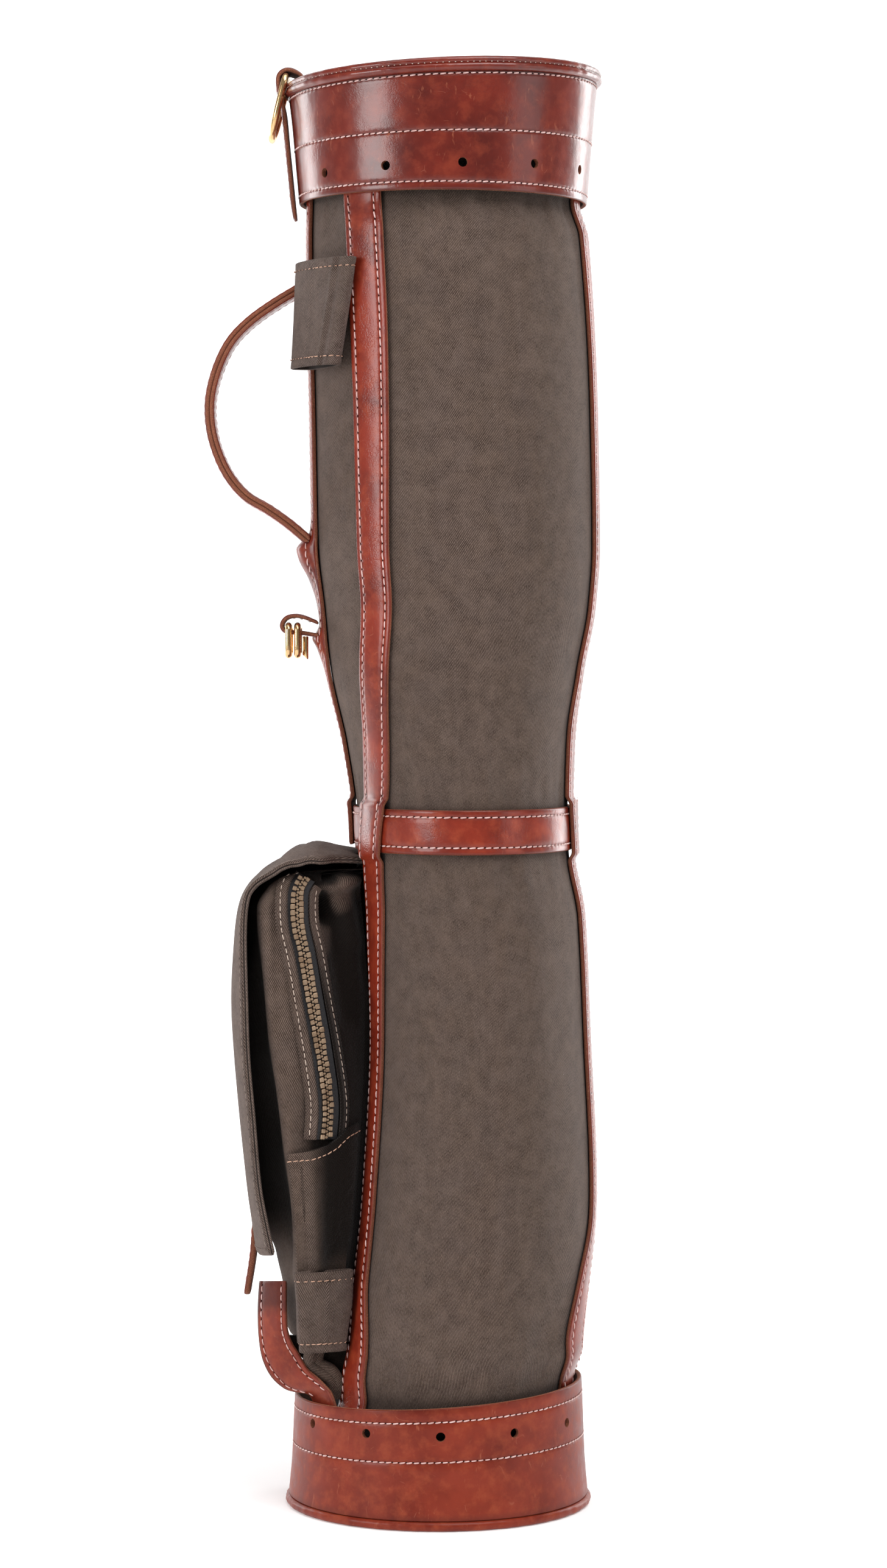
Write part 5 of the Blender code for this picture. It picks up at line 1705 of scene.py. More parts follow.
@dataclass
class Gusset:
    """The ball pocket's near side, which the zipper, the patch pocket and the lower sleeve lie on."""

    # Height, corner x, corner y, crown x, root x, root y, side's bulge, far y
    rows: Rows = (
        (0.103, -0.0855, -0.042, -0.0905, -0.064, -0.0345, 0.0008, 0.05),
        (0.11, -0.086, -0.043, -0.0935, -0.063, -0.0345, 0.001, 0.052),
        (0.13, -0.0862, -0.045, -0.0968, -0.059, -0.033, 0.0012, 0.055),
        (0.154, -0.087, -0.046, -0.0996, -0.0565, -0.0315, 0.002, 0.056),
        (0.18, -0.0882, -0.0465, -0.101, -0.054, -0.03, 0.003, 0.057),
        (0.2288, -0.0938, -0.0475, -0.1035, -0.05, -0.0275, 0.006, 0.058),
        (0.29, -0.102, -0.047, -0.1105, -0.049, -0.0265, 0.008, 0.058),
        (0.337, -0.1068, -0.0465, -0.115, -0.05, -0.029, 0.008, 0.058),
        (0.365, -0.109, -0.046, -0.1151, -0.053, -0.032, 0.007, 0.057),
        (0.377, -0.103, -0.044, -0.1084, -0.056, -0.0335, 0.005, 0.055),
        (0.3835, -0.094, -0.041, -0.099, -0.058, -0.033, 0.003, 0.052),
        (0.3855, -0.086, -0.038, -0.089, -0.06, -0.032, 0.001, 0.048),
    )
    # The zipper's middle line: x, z
    zip_path: Rows = ((-0.0808, 0.3838), (-0.0838, 0.3785), (-0.0853, 0.3721), (-0.0849, 0.3554),
                      (-0.0813, 0.3379), (-0.0769, 0.3104), (-0.0719, 0.2802), (-0.068, 0.2486),
                      (-0.069, 0.2262))
    # Folds of the side: start x, z, stop x, z, height, half width
    folds: Rows = (
        (-0.0705, 0.37, -0.0688, 0.361, -0.017, 0.0052), (-0.078, 0.383, -0.066, 0.3845, -0.011, 0.0036),
        (-0.0725, 0.3735, -0.054, 0.381, 0.007, 0.0048), (-0.064, 0.356, -0.056, 0.3, -0.004, 0.006),
        (-0.056, 0.36, -0.052, 0.345, 0.003, 0.005), (-0.0985, 0.365, -0.0985, 0.27, -0.0022, 0.0042),
        (-0.079, 0.21, -0.076, 0.15, 0.006, 0.006), (-0.085, 0.212, -0.0815, 0.15, -0.006, 0.0036),
    )
    # Deep shade painted on the side, in the same way
    shades: Rows = (
        (-0.0715, 0.371, -0.0695, 0.36, 1.8, 0.0048), (-0.077, 0.383, -0.066, 0.384, 2.0, 0.005),
        (-0.053, 0.35, -0.051, 0.24, 2.2, 0.013), (-0.062, 0.325, -0.06, 0.22, 1.6, 0.009),
        (-0.06, 0.245, -0.06, 0.155, 2.0, 0.017), (-0.081, 0.212, -0.079, 0.155, 0.8, 0.005),
        (-0.098, 0.376, -0.09, 0.384, 0.6, 0.005),
    )

    def point(self, share: Array, height: Array, lift: Array | float = 0.0) -> Array:
        """Points on the side: share 0 at its front corner, 1 where it meets the tube."""
        share, height, lift = np.broadcast_arrays(share, height, lift)
        row = glide(self.rows, height)
        corner, root, bulge = row[..., 0:2], row[..., 3:5], row[..., 5:6]
        middle = (corner + root) / 2 + beside(root - corner) * bulge * 2
        s = share[..., None]
        tangent = (middle - corner) * (1 - s) + (root - middle) * s
        place = bow(corner, middle, root, s) + beside(tangent) * lift[..., None]
        return stack(place[..., 0], place[..., 1], height)

    def share_at(self, x: Array, height: Array) -> Array:
        """The share at an x, by halving."""
        low, high = np.zeros_like(x), np.ones_like(x)
        for _ in range(20):
            middle = (low + high) / 2
            left = self.point(middle, height)[..., 0] < x
            low, high = np.where(left, middle, low), np.where(left, high, middle)
        return (low + high) / 2

    @staticmethod
    def ridges(rows: Rows, x: Array, z: Array) -> Array:
        """Sum of soft ridges, each along a line in side view."""
        found = np.zeros(np.broadcast_shapes(np.shape(x), np.shape(z)))
        for x0, z0, x1, z1, height, half in rows:
            wide, tall = x1 - x0, z1 - z0
            t = np.clip(((x - x0) * wide + (z - z0) * tall) / (wide ** 2 + tall ** 2), 0.0, 1.0)
            away = np.hypot(x - mix(x0, x1, t), z - mix(z0, z1, t))
            found = found + height * hump(away, half)
        return found

    def fold(self, x: Array, z: Array) -> Array:
        """Height of the side's folds; they fade at the zipper."""
        found = self.ridges(self.folds, x, z)
        line = spline(self.zip_path, np.linspace(0, len(self.zip_path) - 1, 120))
        gap = np.min(np.hypot(x[..., None] - line[:, 0], z[..., None] - line[:, 1]), axis=-1)
        return found * ease(gap, 0.0095, 0.0125)

    def along_zip(self, station: Array, across: Array, lift: Array) -> Array:
        """Points beside the zipper's middle line, across in metres, positive towards the front corner."""
        spot = spline(self.zip_path, station)
        way = unit(spline(self.zip_path, station + 0.05) - spline(self.zip_path, station - 0.05))
        x = spot[..., 0] + way[..., 1] * across
        z = spot[..., 1] - way[..., 0] * across
        return self.point(self.share_at(x, z), z, lift)


@dataclass
class BallPocket:
    """The zipped pocket, its zipper, patch pocket, flap, billet and gathered tail."""

    gusset: Gusset = field(default_factory=Gusset)
    wall: float = CANVAS
    # How far the front is crowned: share across, share of the full crown
    crown: Rows = ((0.045, 0.03), (0.15, 0.1), (0.32, 0.62), (0.5, 1.0), (0.68, 1.0), (0.85, 0.78),
                   (0.955, 0.28))
    # How the roof and the floor close: share of the way to the line where they meet, height
    closing: Rows = ((0.85, -0.002), (0.5, -0.0018), (0.22, -0.0014), (0.07, -0.0007))
    closing_x: float = -0.034
    closing_reach: float = 0.8
    far_root: tuple[float, float] = (-0.04, 0.05)
    far_bulge: float = 0.005
    seam_turn: float = 1.2
    seam_lift: float = 0.0048
    seam_azimuth: float = -76.0
    tape_width: float = 0.0126
    tape_thick: float = 0.0008
    tape_seat: float = 0.0008
    tooth_pitch: float = 0.0035
    lip_start: float = 0.0056
    lip_seat: float = 0.0013
    lip_width: float = 0.0068
    lip_thick: float = 0.0021
    patch_foot: float = 0.11
    patch_width: float = 0.045
    patch_slack: float = 0.003
    patch_hem: Rows = ((0.03, 0.2182), (0.35, 0.2204), (0.6, 0.2255), (0.8, 0.233), (0.97, 0.235))
    # Flap's outer face: x and z down its middle, x and z along its edges
    flap_rows: Rows = (
        (-0.0508, 0.395, -0.0492, 0.3935), (-0.064, 0.3992, -0.062, 0.3945),
        (-0.0756, 0.4014, -0.072, 0.3945), (-0.086, 0.3993, -0.082, 0.3938),
        (-0.0989, 0.3905, -0.093, 0.3908), (-0.11, 0.3825, -0.103, 0.3852), (-0.1175, 0.3735, -0.112, 0.379),
        (-0.1215, 0.362, -0.1165, 0.37), (-0.124, 0.342, -0.118, 0.35), (-0.1259, 0.307, -0.117, 0.31),
        (-0.125, 0.275, -0.1158, 0.276), (-0.1222, 0.2403, -0.1128, 0.24), (-0.1175, 0.201, -0.1095, 0.2),
        (-0.1137, 0.1737, -0.105, 0.175), (-0.1108, 0.153, -0.101, 0.1575),
    )
    flap_y: float = 0.006
    flap_half: float = 0.0575
    flap_thick: float = 0.0042
    flap_far_root: float = -0.0345
    flap_near_root: float = -0.0415
    flap_tuck: float = 0.42
    flap_row: float = 0.945
    # Billet: height, outer x, inner x
    billet_rows: Rows = ((0.17, -0.1144, -0.1135), (0.16, -0.1152, -0.1118), (0.1515, -0.116, -0.1119),
                         (0.14, -0.1176, -0.1135), (0.13, -0.1193, -0.1152), (0.1262, -0.1196, -0.1156))
    billet_width: float = 0.024
    billet_thick: float = 0.0041
    # Two folds of the tail: x, y, z, radius
    tail_folds: tuple[Rows, Rows] = (
        ((-0.08, -0.036, 0.106, 0.0046), (-0.0776, -0.0372, 0.0966, 0.0044),
         (-0.0782, -0.0372, 0.09, 0.004), (-0.0714, -0.037, 0.0842, 0.004),
         (-0.0652, -0.0366, 0.0791, 0.0037), (-0.064, -0.036, 0.069, 0.0032)),
        ((-0.069, -0.035, 0.106, 0.0048), (-0.0736, -0.0352, 0.0966, 0.0042),
         (-0.0729, -0.0352, 0.09, 0.004), (-0.0655, -0.0352, 0.0856, 0.004),
         (-0.0615, -0.0356, 0.0791, 0.0036), (-0.0606, -0.036, 0.069, 0.0032)),
    )
    # Cloth painted dark as painted shade behind the folds: height, left side
    web: Rows = ((0.066, -0.06), (0.07, -0.063), (0.08, -0.069), (0.09, -0.0808), (0.1, -0.0886),
                 (0.106, -0.0906))
    web_root: float = -0.05
    web_y: float = -0.03
    web_thick: float = 0.003
    web_shade: float = 0.93
    # The strip painted dark, as painted shade, under the flap's crown
    liner_span: tuple[float, float] = (0.0, 4.6)
    liner_depth: float = 0.021
    liner_y: float = -0.004

    def controls(self, height: Array, thin: float) -> Array:
        """Points that the pocket's outline passes in plan, at each height, drawn in by thin."""
        row = glide(self.gusset.rows, height)
        corner_x, corner_y, far_y = row[:, 0] + thin, row[:, 1] + thin, row[:, 6]
        under = glide([(z, x + self.flap_thick + 0.001) for x, z, _, _ in self.flap_rows[6:]], height)[:, 0]
        meets = ease(height, 0.15, 0.175) * (1 - ease(height, 0.362, 0.374))
        crown_x = np.minimum(row[:, 2], mix(row[:, 2], under, meets))
        edge = Skin.strap_azimuth(Run.FRONT_LEFT, height) - Skin.strap_half(Run.FRONT_LEFT, height)
        seam = np.minimum(edge - self.seam_turn, self.seam_azimuth)
        near = [Skin.point(seam, height, self.seam_lift - thin)[:, :2]]
        near += [self.gusset.point(share, height, -thin)[:, :2] for share in (1.0, 0.8, 0.6, 0.4, 0.2, 0.06)]
        front = [stack(corner_x + (crown_x - row[:, 0]) * part, mix(corner_y, far_y - thin, share))
                 for share, part in self.crown]
        far_corner = stack(corner_x, far_y - thin)
        far_root = stack(self.far_root[0], np.minimum(self.far_root[1], far_y - 0.004) - thin)
        middle = (far_corner + far_root) / 2 - beside(far_root - far_corner) * self.far_bulge * 2
        far = [bow(far_corner, middle, far_root, share) for share in (0.05, 0.35, 0.7, 1.0)]
        return np.stack(near + front + far, axis=1)

    def shell(self, finishes: Finishes) -> None:
        """Makes the pocket's canvas shell with its folded near side, roof and floor."""
        gusset = self.gusset
        low, high = gusset.rows[0][0], gusset.rows[-1][0]
        heights = np.concatenate([np.linspace(low, 0.35, 95), np.linspace(0.3518, high, 26)])
        closing, level = np.array(self.closing), np.zeros(len(heights))
        shrink = np.concatenate([closing[:, 0], level, closing[::-1, 0]])
        slide = np.concatenate([closing[:, 1], level, -closing[::-1, 1]])
        heights = np.pad(heights, len(closing), mode="edge")
        stations = np.concatenate([np.linspace(0, 7, 84), np.linspace(7.06, 17, 70)])
        near = 1 - ease(stations, 5.2, 6.2)
        faces = []
        for thin in (0.0, self.wall):
            plan = spline(self.controls(heights, thin), stations)
            normal = beside(np.gradient(plan, axis=1))
            normal *= np.sign((normal[:, 40:41] * np.array([0.0, -1.0])).sum(axis=-1, keepdims=True))
            z = np.broadcast_to(heights[:, None], plan.shape[:2])
            push = gusset.fold(plan[..., 0], z) * near
            push = push + 0.0012 * np.sin(z * 95 + stations[None, :] * 1.7) * ease(stations, 6.8, 8.0)
            plan = plan + normal * push[..., None]
            anchor = stack(self.closing_x, plan[..., 1] * self.closing_reach)
            plan = mix(plan, anchor, shrink[:, None, None])
            sink = np.where(slide > 0, -thin, np.where(slide < 0, thin, 0.0))
            faces.append(stack(plan[..., 0], plan[..., 1], z + (slide + sink)[:, None]))
        outer, inner = faces
        points = np.concatenate([outer, inner[:, ::-1]], axis=1)
        reach = travelled(outer[60])
        u = np.concatenate([reach, reach[::-1], reach[:1]])
        v = heights + np.cumsum(np.append(0.0, np.abs(np.diff(shrink)))) * 0.03
        z = np.broadcast_to(heights[:, None], outer.shape[:2])
        # Painted shade: the deep shade rows of the side, the valley by the seam, the roof under the flap and
        # the slot behind the flap's edge
        darkening = gusset.ridges(gusset.shades, outer[..., 0], z) * near
        darkening = darkening + 0.7 * (1 - ease(stations, 0.4, 1.6)) + 0.4 * (heights > 0.384)[:, None]
        slot = ease(stations, 6.9, 7.4) * (1 - ease(stations, 9.5, 10.5))
        darkening = darkening + 0.95 * slot[None, :] * ease(heights, 0.15, 0.185)[:, None]
        grime = np.concatenate([darkening, darkening[:, ::-1]], axis=1)
        item = loft("pocket_shell", points, (finishes.twill,), cloth=stack(u[None, :], v[:, None]),
                    grime=np.clip(grime, 0, 1))
        settle(item, replaces=["pocket_body"])

    def zipper(self, finishes: Finishes, sewing: Sewing) -> None:
        """Makes the tape, its teeth and the two canvas lips beside it."""
        gusset, last = self.gusset, len(self.gusset.zip_path) - 1.0

        def tape_place(station: Array, share: Array, lift: Array) -> Array:
            """Points on the tape."""
            return gusset.along_zip(station, share * self.tape_width / 2, self.tape_seat + lift)

        section = Section(self.tape_width, self.tape_thick, (), dome=0.0, corner=0.0003, columns=9)
        tape = Strip("zip_ribbon", tape_place, section, 0.0, last, 0.0025)
        settle(tape.build(finishes.tape), replaces=["zip_tape"])
        top = self.tape_seat + self.tape_thick
        for name, shift, turn, nodes in (("zip_teeth_front", 0.25, 0.0, ["zip_teeth"]),
                                         ("zip_teeth_near", 0.75, 180.0, ())):
            spots = np.arange(int(tape.length / self.tooth_pitch)) + shift
            stations = tape.station(spots * self.tooth_pitch)
            low, high = (gusset.along_zip(stations, 0.0, lift) for lift in (top, top + FACING_STEP))
            teeth = sewing.lay(name, [Seam(low, unit(high - low))], sewing.tooth, (1.0, 1.0, 1.0), turn,
                               0.0, 1, finishes.zip_metal, finishes.zip_metal)
            settle(teeth, replaces=nodes)
        seams = []
        # The near lip is darkened on its lower part as painted shade beside the pocket's recess
        for name, way, inset, trim, darkening in (("zip_lip_front", 1.0, 0.0, 0.0, 0.0),
                                             ("zip_lip_near", -1.0, 0.0016, 0.0018, 0.75)):
            def lip_place(station: Array, share: Array, lift: Array, way: float = way, inset: float = inset,
                          trim: float = trim) -> Array:
                """Points on the lip, full at the tape and thin away from it."""
                across = way * (self.lip_start + inset + (share + 1) / 2 * (self.lip_width - trim))
                body = 1.0 - 0.66 * ease((share + 1) / 2, 0.3, 1.0)
                edge = 1.0 + 0.5 * hump(share + 0.78, 0.28)
                return gusset.along_zip(station, across, self.lip_seat + lift * body * edge)

            section = Section(self.lip_width, self.lip_thick, (0.2,), dome=0.0002, groove=0.0004,
                              corner=0.0008)
            lip = Strip(name, lip_place, section, 0.2, last, 0.0018, 0.0042, twill=-way, edge_grime=0.35,
                        grime=lambda station, share, darkening=darkening: darkening * ease(station, 3.2, 5.5))
            settle(lip.build(finishes.twill))
            seams.append(lip.seam(0.2, 0.004, 0.004))
        sewing.sew("zip_stitches", seams, Stitch(0.0032, 0.00056, 2.0, 3.0, 37), finishes.pale_thread)

    def patch(self, finishes: Finishes, sewing: Sewing) -> None:
        """Makes the patch pocket, slack at its hem, and sews the hem."""
        gusset, first, last = self.gusset, self.patch_hem[0][0], self.patch_hem[-1][0]

        def place(station: Array, share: Array, lift: Array) -> Array:
            """Points on the patch pocket."""
            side = mix(first, last, (share + 1) / 2)
            hem = glide(self.patch_hem, side)[..., 0]
            height = mix(self.patch_foot, hem, station)
            bulge = np.sin(np.pi * (side - first) / (last - first))
            slack = self.patch_slack * bulge * ease(height, 0.155, 0.215)
            wave = 0.0009 * np.sin(side * 9.0 + height * 30.0) * ease(height, 0.15, 0.19)
            flat = gusset.point(side, height)
            fold = np.maximum(gusset.fold(flat[..., 0], flat[..., 2]), 0.0)
            hemmed = lift * (1 + 0.35 * ease(station, 0.925, 0.935))
            return gusset.point(side, height, 2 * SEAT + slack + np.maximum(wave, 0) + fold + hemmed)

        section = Section(self.patch_width, PATCH_THICK, (), dome=0.0, corner=0.0005, columns=35)
        # The patch's half towards the tube is darkened above its foot as painted shade
        strip = Strip("patch_cloth", place, section, 0.0, 1.0, 0.0018, edge_grime=0.1,
                      grime=lambda station, share: ease(share, -0.8, 0.05) * ease(station, 0.2, 0.42))
        item = strip.build(finishes.twill)
        settle(item, replaces=["patch_pocket"])
        stitches = sewing.sew("patch_stitches", [hem_seam(place, 0.958, 0.98, 80, PATCH_THICK, 0.004)],
                              Stitch(0.003, 0.00062, 4.0, 5.0, 41), finishes.hem_thread)

    def flap_line(self, station: Array, share: Array) -> Array:
        """The flap's outer face in side view, at a share across it."""
        rows = spline(self.flap_rows, station)
        crown = (1 - np.abs(share) ** 2.2)[..., None]
        line = mix(rows[..., 2:], rows[..., :2], crown)
        top = np.clip(1 - station, 0.0, 1.0)
        reach = mix(line[..., 0], self.flap_far_root, np.maximum(share, 0.0) ** 2 * top)
        return stack(mix(reach, self.flap_near_root, np.maximum(-share, 0.0) ** 2 * top), line[..., 1])

    def flap_place(self, station: Array, share: Array, lift: Array) -> Array:
        """Points on the flap, creased over its crown."""
        share_in = np.clip(share, -1.0, 1.0)
        line = self.flap_line(station, share_in)
        ahead, behind = np.minimum(station + 0.05, len(self.flap_rows) - 1.0), np.maximum(station - 0.05, 0.0)
        out = beside(self.flap_line(ahead, share_in) - self.flap_line(behind, share_in))
        crown = hump(station - 3.0, 1.9) * (0.4 + 0.6 * hump(share - 0.1, 0.7))
        crease = 0.0011 * np.sin(station * 4.2 + share * 2.6) * crown
        slow = 0.0007 * np.sin(station * 1.1 + share * 3.0) * hump(share, 0.8)
        spot = line + out * (lift - self.flap_thick + np.minimum(crease + slow + 0.001, 0.0013))[..., None]
        tuck = 1 - self.flap_tuck * (1 - ease(station, 0.0, 2.2)) * np.maximum(-share_in, 0.0)
        return stack(spot[..., 0], self.flap_y + self.flap_half * share * tuck, spot[..., 1])

    def flap(self, finishes: Finishes, sewing: Sewing) -> None:
        """Makes the doubled flap and its billet, and sews them."""
        rows, last = (-self.flap_row, self.flap_row), len(self.flap_rows) - 1.0
        section = Section(2 * self.flap_half, self.flap_thick, rows, dome=0.0, groove=0.0004,
                          groove_half=0.0014, corner=0.0011, edge_swell=0.0009, plies=2,
                          back=Back.GRAIN, columns=41)
        strip = Strip("doubled_flap", self.flap_place, section, 0.0, last, 0.0022, 0.0044,
                      0.00015, edge_grime=0.25)
        item = strip.build(finishes.flap)
        settle(item, replaces=["pocket_flap"])
        seams = [strip.seam(row, 0.03, 0.006) for row in rows]
        seams += [hem_seam(self.flap_place, last - 0.24, 0.93, 160, self.flap_thick, 0.0044)]
        stitches = sewing.sew("flap_stitches", seams, Stitch(0.0034, 0.00045, 2.0, 3.0, 43),
                              finishes.flap_thread)

        def billet_place(station: Array, share: Array, lift: Array) -> Array:
            """Points on the billet."""
            row = spline(self.billet_rows, station)
            x = mix(row[..., 2], row[..., 1], lift / self.billet_thick)
            return stack(x, self.flap_y + share * self.billet_width / 2, row[..., 0])

        section = Section(self.billet_width, self.billet_thick, (-0.7, 0.7), dome=0.0003, edge_swell=0.0003)
        billet = Strip("leather_billet", billet_place, section, 0.0, len(self.billet_rows) - 1.0, 0.0014,
                       round_end=0.006)
        settle(billet.build(*finishes.hide(finishes.strap)),
               replaces=["flap_billet"])
        sewing.sew("billet_stitches", [billet.seam(-0.7, 0.004, 0.006), billet.seam(0.7, 0.004, 0.006)],
                   Stitch(0.0036, 0.00085, 3.0, 3.0, 47), finishes.thread)

    def dark_cloth(self, name: str, front: Array, u: Array, v: Array, finishes: Finishes) -> None:
        """Makes a piece of cloth painted nearly black, standing in for the deep shade it lies in.

        Args:
            name: the piece's name.
            front: points of its near face, in rows.
            u: the cloth's coordinate along a row.
            v: its coordinate from row to row.
            finishes: the bag's materials.
        """
        back = front + np.array([0.0, self.web_thick, 0.0])
        around = np.concatenate([u, u[::-1], u[:1]])
        grime = np.full((len(v), 2 * len(u)), self.web_shade)
        item = loft(name, np.concatenate([front, back[:, ::-1]], axis=1), (finishes.twill,),
                    cloth=stack(around[None, :], v[:, None]), grime=grime)
        settle(item)

    def liner(self, finishes: Finishes) -> None:
        """Makes the strip, painted dark as painted shade, that shuts the gap between the flap's crown and the
        pocket's top.
        """
        line = self.flap_line(np.linspace(*self.liner_span, 40), -0.15)
        depths = np.linspace(self.liner_depth, self.flap_thick / 2, 12)
        front = stack(line[:, :1], self.liner_y, line[:, 1:] - depths[None, :])
        self.dark_cloth("flap_liner", front, depths, line[:, 0], finishes)

    def tail(self, finishes: Finishes) -> None:
        """Makes the gathered canvas under the pocket: two thick folds and the cloth behind them, painted dark
        as painted shade.
        """
        heights = np.linspace(self.web[0][0], self.web[-1][0], 40)
        shares = np.linspace(0, 1, 16)
        across = mix(glide(self.web, heights), self.web_root, shares[None, :])
        wave = 0.0012 * np.sin(shares * 14.0)[None, :] * np.sin(heights * 110)[:, None]
        front = stack(across, self.web_y + wave, heights[:, None])
        self.dark_cloth("tail_web", front, shares * 0.04, heights, finishes)
        for index, rows in enumerate(self.tail_folds):
            line = spline(rows, np.linspace(0, len(rows) - 1, 60))
            item = wire(f"tail_fold_{index + 1}", line[:, :3], line[:, 3], 20, finishes.twill,
                        np.array([0.0, 1.0, 0.0]))
            settle(item, replaces=["pocket_tail"] if index == 0 else ())

    def build(self, finishes: Finishes, sewing: Sewing) -> None:
        """Makes every piece of the pocket."""
        self.shell(finishes)
        self.zipper(finishes, sewing)
        self.patch(finishes, sewing)
        self.flap(finishes, sewing)
        self.liner(finishes)
        self.tail(finishes)


@dataclass
class ClosingStrap:
    """The twisted leather strap that comes up from the cup in front of the pocket."""

    # Far edge x, y, z and near edge x, y, z
    rows: Rows = (
        (-0.0725, -0.0345, 0.05, -0.0608, -0.054, 0.062), (-0.076, -0.03, 0.064, -0.065, -0.05, 0.074),
        (-0.079, -0.029, 0.07, -0.069, -0.048, 0.0785), (-0.087, -0.027, 0.0712, -0.0734, -0.045, 0.0826),
        (-0.0941, -0.024, 0.073, -0.0797, -0.0425, 0.0879),
        (-0.1019, -0.022, 0.0798, -0.0853, -0.0395, 0.0969),
        (-0.1071, -0.02, 0.0898, -0.0893, -0.038, 0.1031), (-0.1093, -0.02, 0.1018, -0.0919, -0.039, 0.1113),
        (-0.11, -0.02, 0.1165, -0.0924, -0.04, 0.1207), (-0.1096, -0.02, 0.1293, -0.0925, -0.04, 0.1317),
        (-0.109, -0.02, 0.1374, -0.0925, -0.0395, 0.1405),
    )
    width: float = 0.027
    thick: float = 0.0024
    row: float = 0.72

    def place(self, station: Array, share: Array, lift: Array) -> Array:
        """Points on the strap; share -1 is its far edge."""
        line = spline(self.rows, station)
        step = spline(self.rows, station + 0.1) - spline(self.rows, station - 0.1)
        far, near = line[..., :3], line[..., 3:]
        along = step[..., :3] + step[..., 3:]
        face = unit(np.cross(along, near - far))
        return mix(far, near, ((share + 1) / 2)[..., None]) - face * (lift - self.thick / 2)[..., None]

    def build(self, finishes: Finishes, sewing: Sewing) -> None:
        """Makes the strap and sews it along both edges."""
        section = Section(self.width, self.thick, (-self.row, self.row), dome=0.0009)
        # Its top is darkened as a painted shadow of the flap
        strip = Strip("twisted_strap", self.place, section, 0.0, len(self.rows) - 1.0,
                      grime=lambda station, share: 1.5 * ease(station, 7.8, 9.0))
        settle(strip.build(*finishes.hide(finishes.cup)), replaces=["closing_strap"])
        sewing.sew("twisted_strap_stitches", [strip.seam(row, 0.016, 0.004) for row in section.rows],
                   Stitch(0.0036, 0.00085, 3.0, 3.0, 53), finishes.thread)


@dataclass
class Sleeves:
    """The two flat canvas sleeves that hold an umbrella: one on the tube, one on the pocket's side."""

    gusset: Gusset = field(default_factory=Gusset)
    # Upper: height, left azimuth, right azimuth, stand-off
    upper: Rows = ((0.687, -75.8, -45.5, 0.0182), (0.718, -75.4, -40.8, 0.016), (0.75, -75.0, -36.5, 0.0142))
    # Lower: height, left share, right share, stand-off
    lower: Rows = ((0.099, 0.0, 1.18, 0.0122), (0.123, -0.03, 1.09, 0.0116), (0.1475, -0.06, 1.0, 0.011))
    upper_seat: float = 0.001
    upper_half: float = 0.022
    lower_half: float = 0.018
    wall: float = CANVAS
    hem: float = 0.0052

    @staticmethod
    def ring(angle: Array, in_across: Array | float, in_out: Array | float) -> tuple[Array, Array]:
        """A flattened loop with tight corners, as shares across and out from -1 to 1."""
        turn = np.radians(angle)
        across = np.sign(np.cos(turn)) * np.abs(np.cos(turn)) ** 0.5
        out = np.sign(np.sin(turn)) * np.abs(np.sin(turn)) ** 0.5
        return across * (1 - in_across), out * (1 - in_out)

    def upper_place(self, angle: Array, share: Array, lift: Array) -> Array:
        """Points on the upper sleeve; the share runs up it."""
        low, high = self.upper[0][0], self.upper[-1][0]
        height = mix(low, high, (share + 1) / 2)
        left, right, depth = np.moveaxis(glide(self.upper, height), -1, 0)
        thin = self.wall - lift
        across, out = self.ring(angle, thin / self.upper_half, thin / (depth / 2))
        azimuth = mix(left, right, (across + 1) / 2)
        edge = Skin.strap_azimuth(Run.FRONT_LEFT, height) - Skin.strap_half(Run.FRONT_LEFT, height)
        over = ease(azimuth - edge, -12.0, -5.0)
        seat = self.upper_seat + (STRAP_THICK + SEAT) * over
        pressed = -0.0013 * hump(across - 0.72, 0.06) + 0.0008 * hump(across - 0.62, 0.05)
        sag = -0.0012 * (1 - share ** 2) * hump(across + 0.1, 0.6)
        front = ease(out, 0.55, 0.95)
        return Skin.point(azimuth, height, mix(seat, depth, (out + 1) / 2) + (pressed + sag) * front)

    def lower_place(self, angle: Array, share: Array, lift: Array) -> Array:
        """Points on the lower sleeve."""
        low, high = self.lower[0][0], self.lower[-1][0]
        height = mix(low, high, (share + 1) / 2)
        left, right, depth = np.moveaxis(glide(self.lower, height), -1, 0)
        seat = 4 * SEAT + PATCH_THICK
        thin = self.wall - lift
        across, out = self.ring(angle, thin / self.lower_half, thin / ((depth - seat) / 2))
        side = mix(left, right, (across + 1) / 2)
        return self.gusset.point(side, height, mix(seat, depth, (out + 1) / 2))

    def build(self, finishes: Finishes, sewing: Sewing) -> None:
        """Makes both sleeves with their hems."""
        sleeves = (("upper_sleeve", "umbrella_sleeve_upper", self.upper_place, self.upper),
                   ("lower_sleeve", "umbrella_sleeve_lower", self.lower_place, self.lower))
        for name, node, place, rows in sleeves:
            height = rows[-1][0] - rows[0][0]
            hem = 1 - 2 * self.hem / height
            section = Section(height, self.wall, (-hem, hem), dome=0.0, groove=0.0004, groove_half=0.0009,
                              corner=0.0006, edge_swell=0.0001, columns=25)
            strip = Strip(name, place, section, 0.0, 360.0, 0.0011, 0.0042, 0.0001, True, weave=Weave.ACROSS,
                          edge_grime=0.12)
            item = strip.build(finishes.sleeve)
            settle(item, replaces=[node])
            sewing.sew(name + "_stitches", [strip.seam(-hem), strip.seam(hem)],
                       Stitch(0.0031, 0.0006, 6.0, 5.0, 59), finishes.hem_thread)


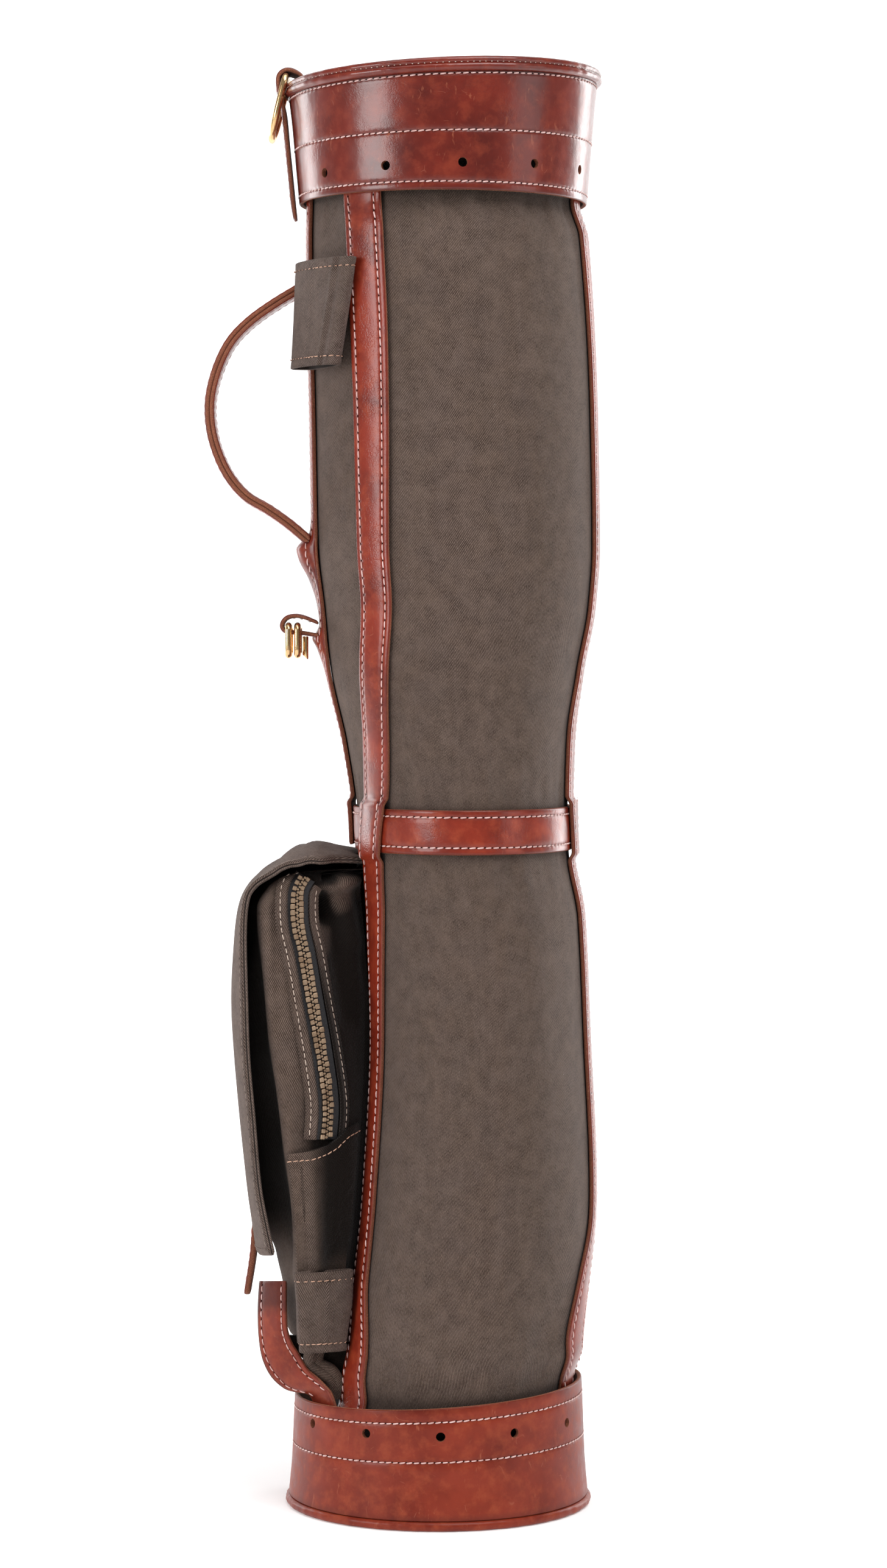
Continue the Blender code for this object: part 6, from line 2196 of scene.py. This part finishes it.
@dataclass
class Studio:
    """A white sweep, soft lights and the camera."""

    camera_place: tuple[float, float, float] = (0.0022, -2.44, 0.514)
    pitch: float = 1.79
    lens: float = 92.2
    sensor: float = 36.0
    floor_half: float = 7.0
    wall_foot: float = 5.0
    wall_radius: float = 1.5
    wall_top: float = 6.0
    surroundings: float = 0.26

    def sweep(self) -> None:
        """The pale floor, rising behind the bag."""
        turn = np.radians(np.linspace(-90, 0, 13))
        back, radius = self.wall_foot, self.wall_radius
        curve = [(-self.floor_half, 0.0), (back, 0.0)]
        curve += [(back + radius * math.cos(a), radius + radius * math.sin(a)) for a in turn[1:]]
        curve += [(back + radius, self.wall_top)]
        points = [(side * self.floor_half, y, z) for side in (-1, 1) for y, z in curve]
        count = len(curve)
        faces = [(index, index + 1, count + index + 1, count + index) for index in range(count - 1)]
        mesh = bpy.data.meshes.new("studio_sweep")
        mesh.from_pydata(points, [], faces)
        mesh.shade_smooth()
        paint = Paint("studio_paper")
        grain = paint.noise(paint.objects(), 0.02)
        white = paint.blend(grain, (0.93, 0.93, 0.93), (0.95, 0.95, 0.95))
        glow = paint.spread(paint.axes(paint.objects())[1], -0.3, 1.2, 0.12, 0.82)
        paint.set(base_color=white, roughness=0.9, emission_color=white, emission_strength=glow)
        mesh.materials.append(paint.material)
        link(mesh, "studio_sweep")

    def light(self, name: str, place: tuple[float, float, float], aim: tuple[float, float, float],
              size: tuple[float, float], power: float) -> None:
        """Adds one soft box.

        Args:
            name: the light's name.
            place: where it stands.
            aim: the point that it faces.
            size: its width and height.
            power: its power in watts.
        """
        data = bpy.data.lights.new(name, "AREA")
        data.shape = "RECTANGLE"
        data.size, data.size_y = size
        data.energy = power
        item = bpy.data.objects.new(name, data)
        bpy.context.scene.collection.objects.link(item)
        item.location = place
        item.rotation_euler = (Vector(aim) - Vector(place)).to_track_quat("-Z", "Y").to_euler()

    def build(self) -> None:
        """Makes the sweep, the lights, the white surroundings and the camera."""
        self.sweep()
        middle = (0.0, 0.0, 0.45)
        self.light("key", (-1.85, -1.4, 0.95), (0.0, 0.0, 0.6), (1.0, 1.1), 25.0)
        self.light("left", (-1.6, 1.1, 0.75), middle, (0.5, 1.2), 11.0)
        self.light("right", (1.45, 1.35, 0.75), middle, (0.6, 1.4), 14.0)
        self.light("fill", (2.1, -0.95, 0.8), middle, (1.0, 1.4), 6.0)
        self.light("overhead", (0.8, -1.3, 2.4), middle, (1.8, 1.2), 36.0)
        self.light("top", (0.0, -0.3, 2.1), middle, (1.4, 1.0), 8.0)
        world = bpy.data.worlds.new("white")
        bpy.context.scene.world = world
        world.use_nodes = True
        background = world.node_tree.nodes["Background"]
        background.inputs["Color"].default_value = (1.0, 1.0, 1.0, 1.0)
        background.inputs["Strength"].default_value = self.surroundings
        data = bpy.data.cameras.new("camera")
        data.lens, data.sensor_width, data.sensor_fit = self.lens, self.sensor, "AUTO"
        camera = bpy.data.objects.new("camera", data)
        bpy.context.scene.collection.objects.link(camera)
        camera.location = self.camera_place
        camera.rotation_euler = (math.radians(90 - self.pitch), 0.0, 0.0)
        bpy.context.scene.camera = camera
        bpy.context.scene.view_settings.view_transform = "Standard"


def write_size() -> None:
    """Updates the view layer."""
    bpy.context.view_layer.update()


def main() -> None:
    """Builds every sub-assembly in order and reports its pieces."""
    logging.basicConfig(level=logging.INFO, format="%(name)s: %(message)s")
    finishes = Finishes()
    sewing = Sewing(finishes)
    Studio().build()
    Tube().build(finishes)
    Mouth().build(finishes, sewing)
    Foot().build(finishes, sewing)
    Harness().build(finishes, sewing)
    Clip().build(finishes, sewing)
    Sleeves().build(finishes, sewing)
    BallPocket().build(finishes, sewing)
    ClosingStrap().build(finishes, sewing)
    sewing.put_away()
    write_size()


if __name__ == "__main__":
    main()
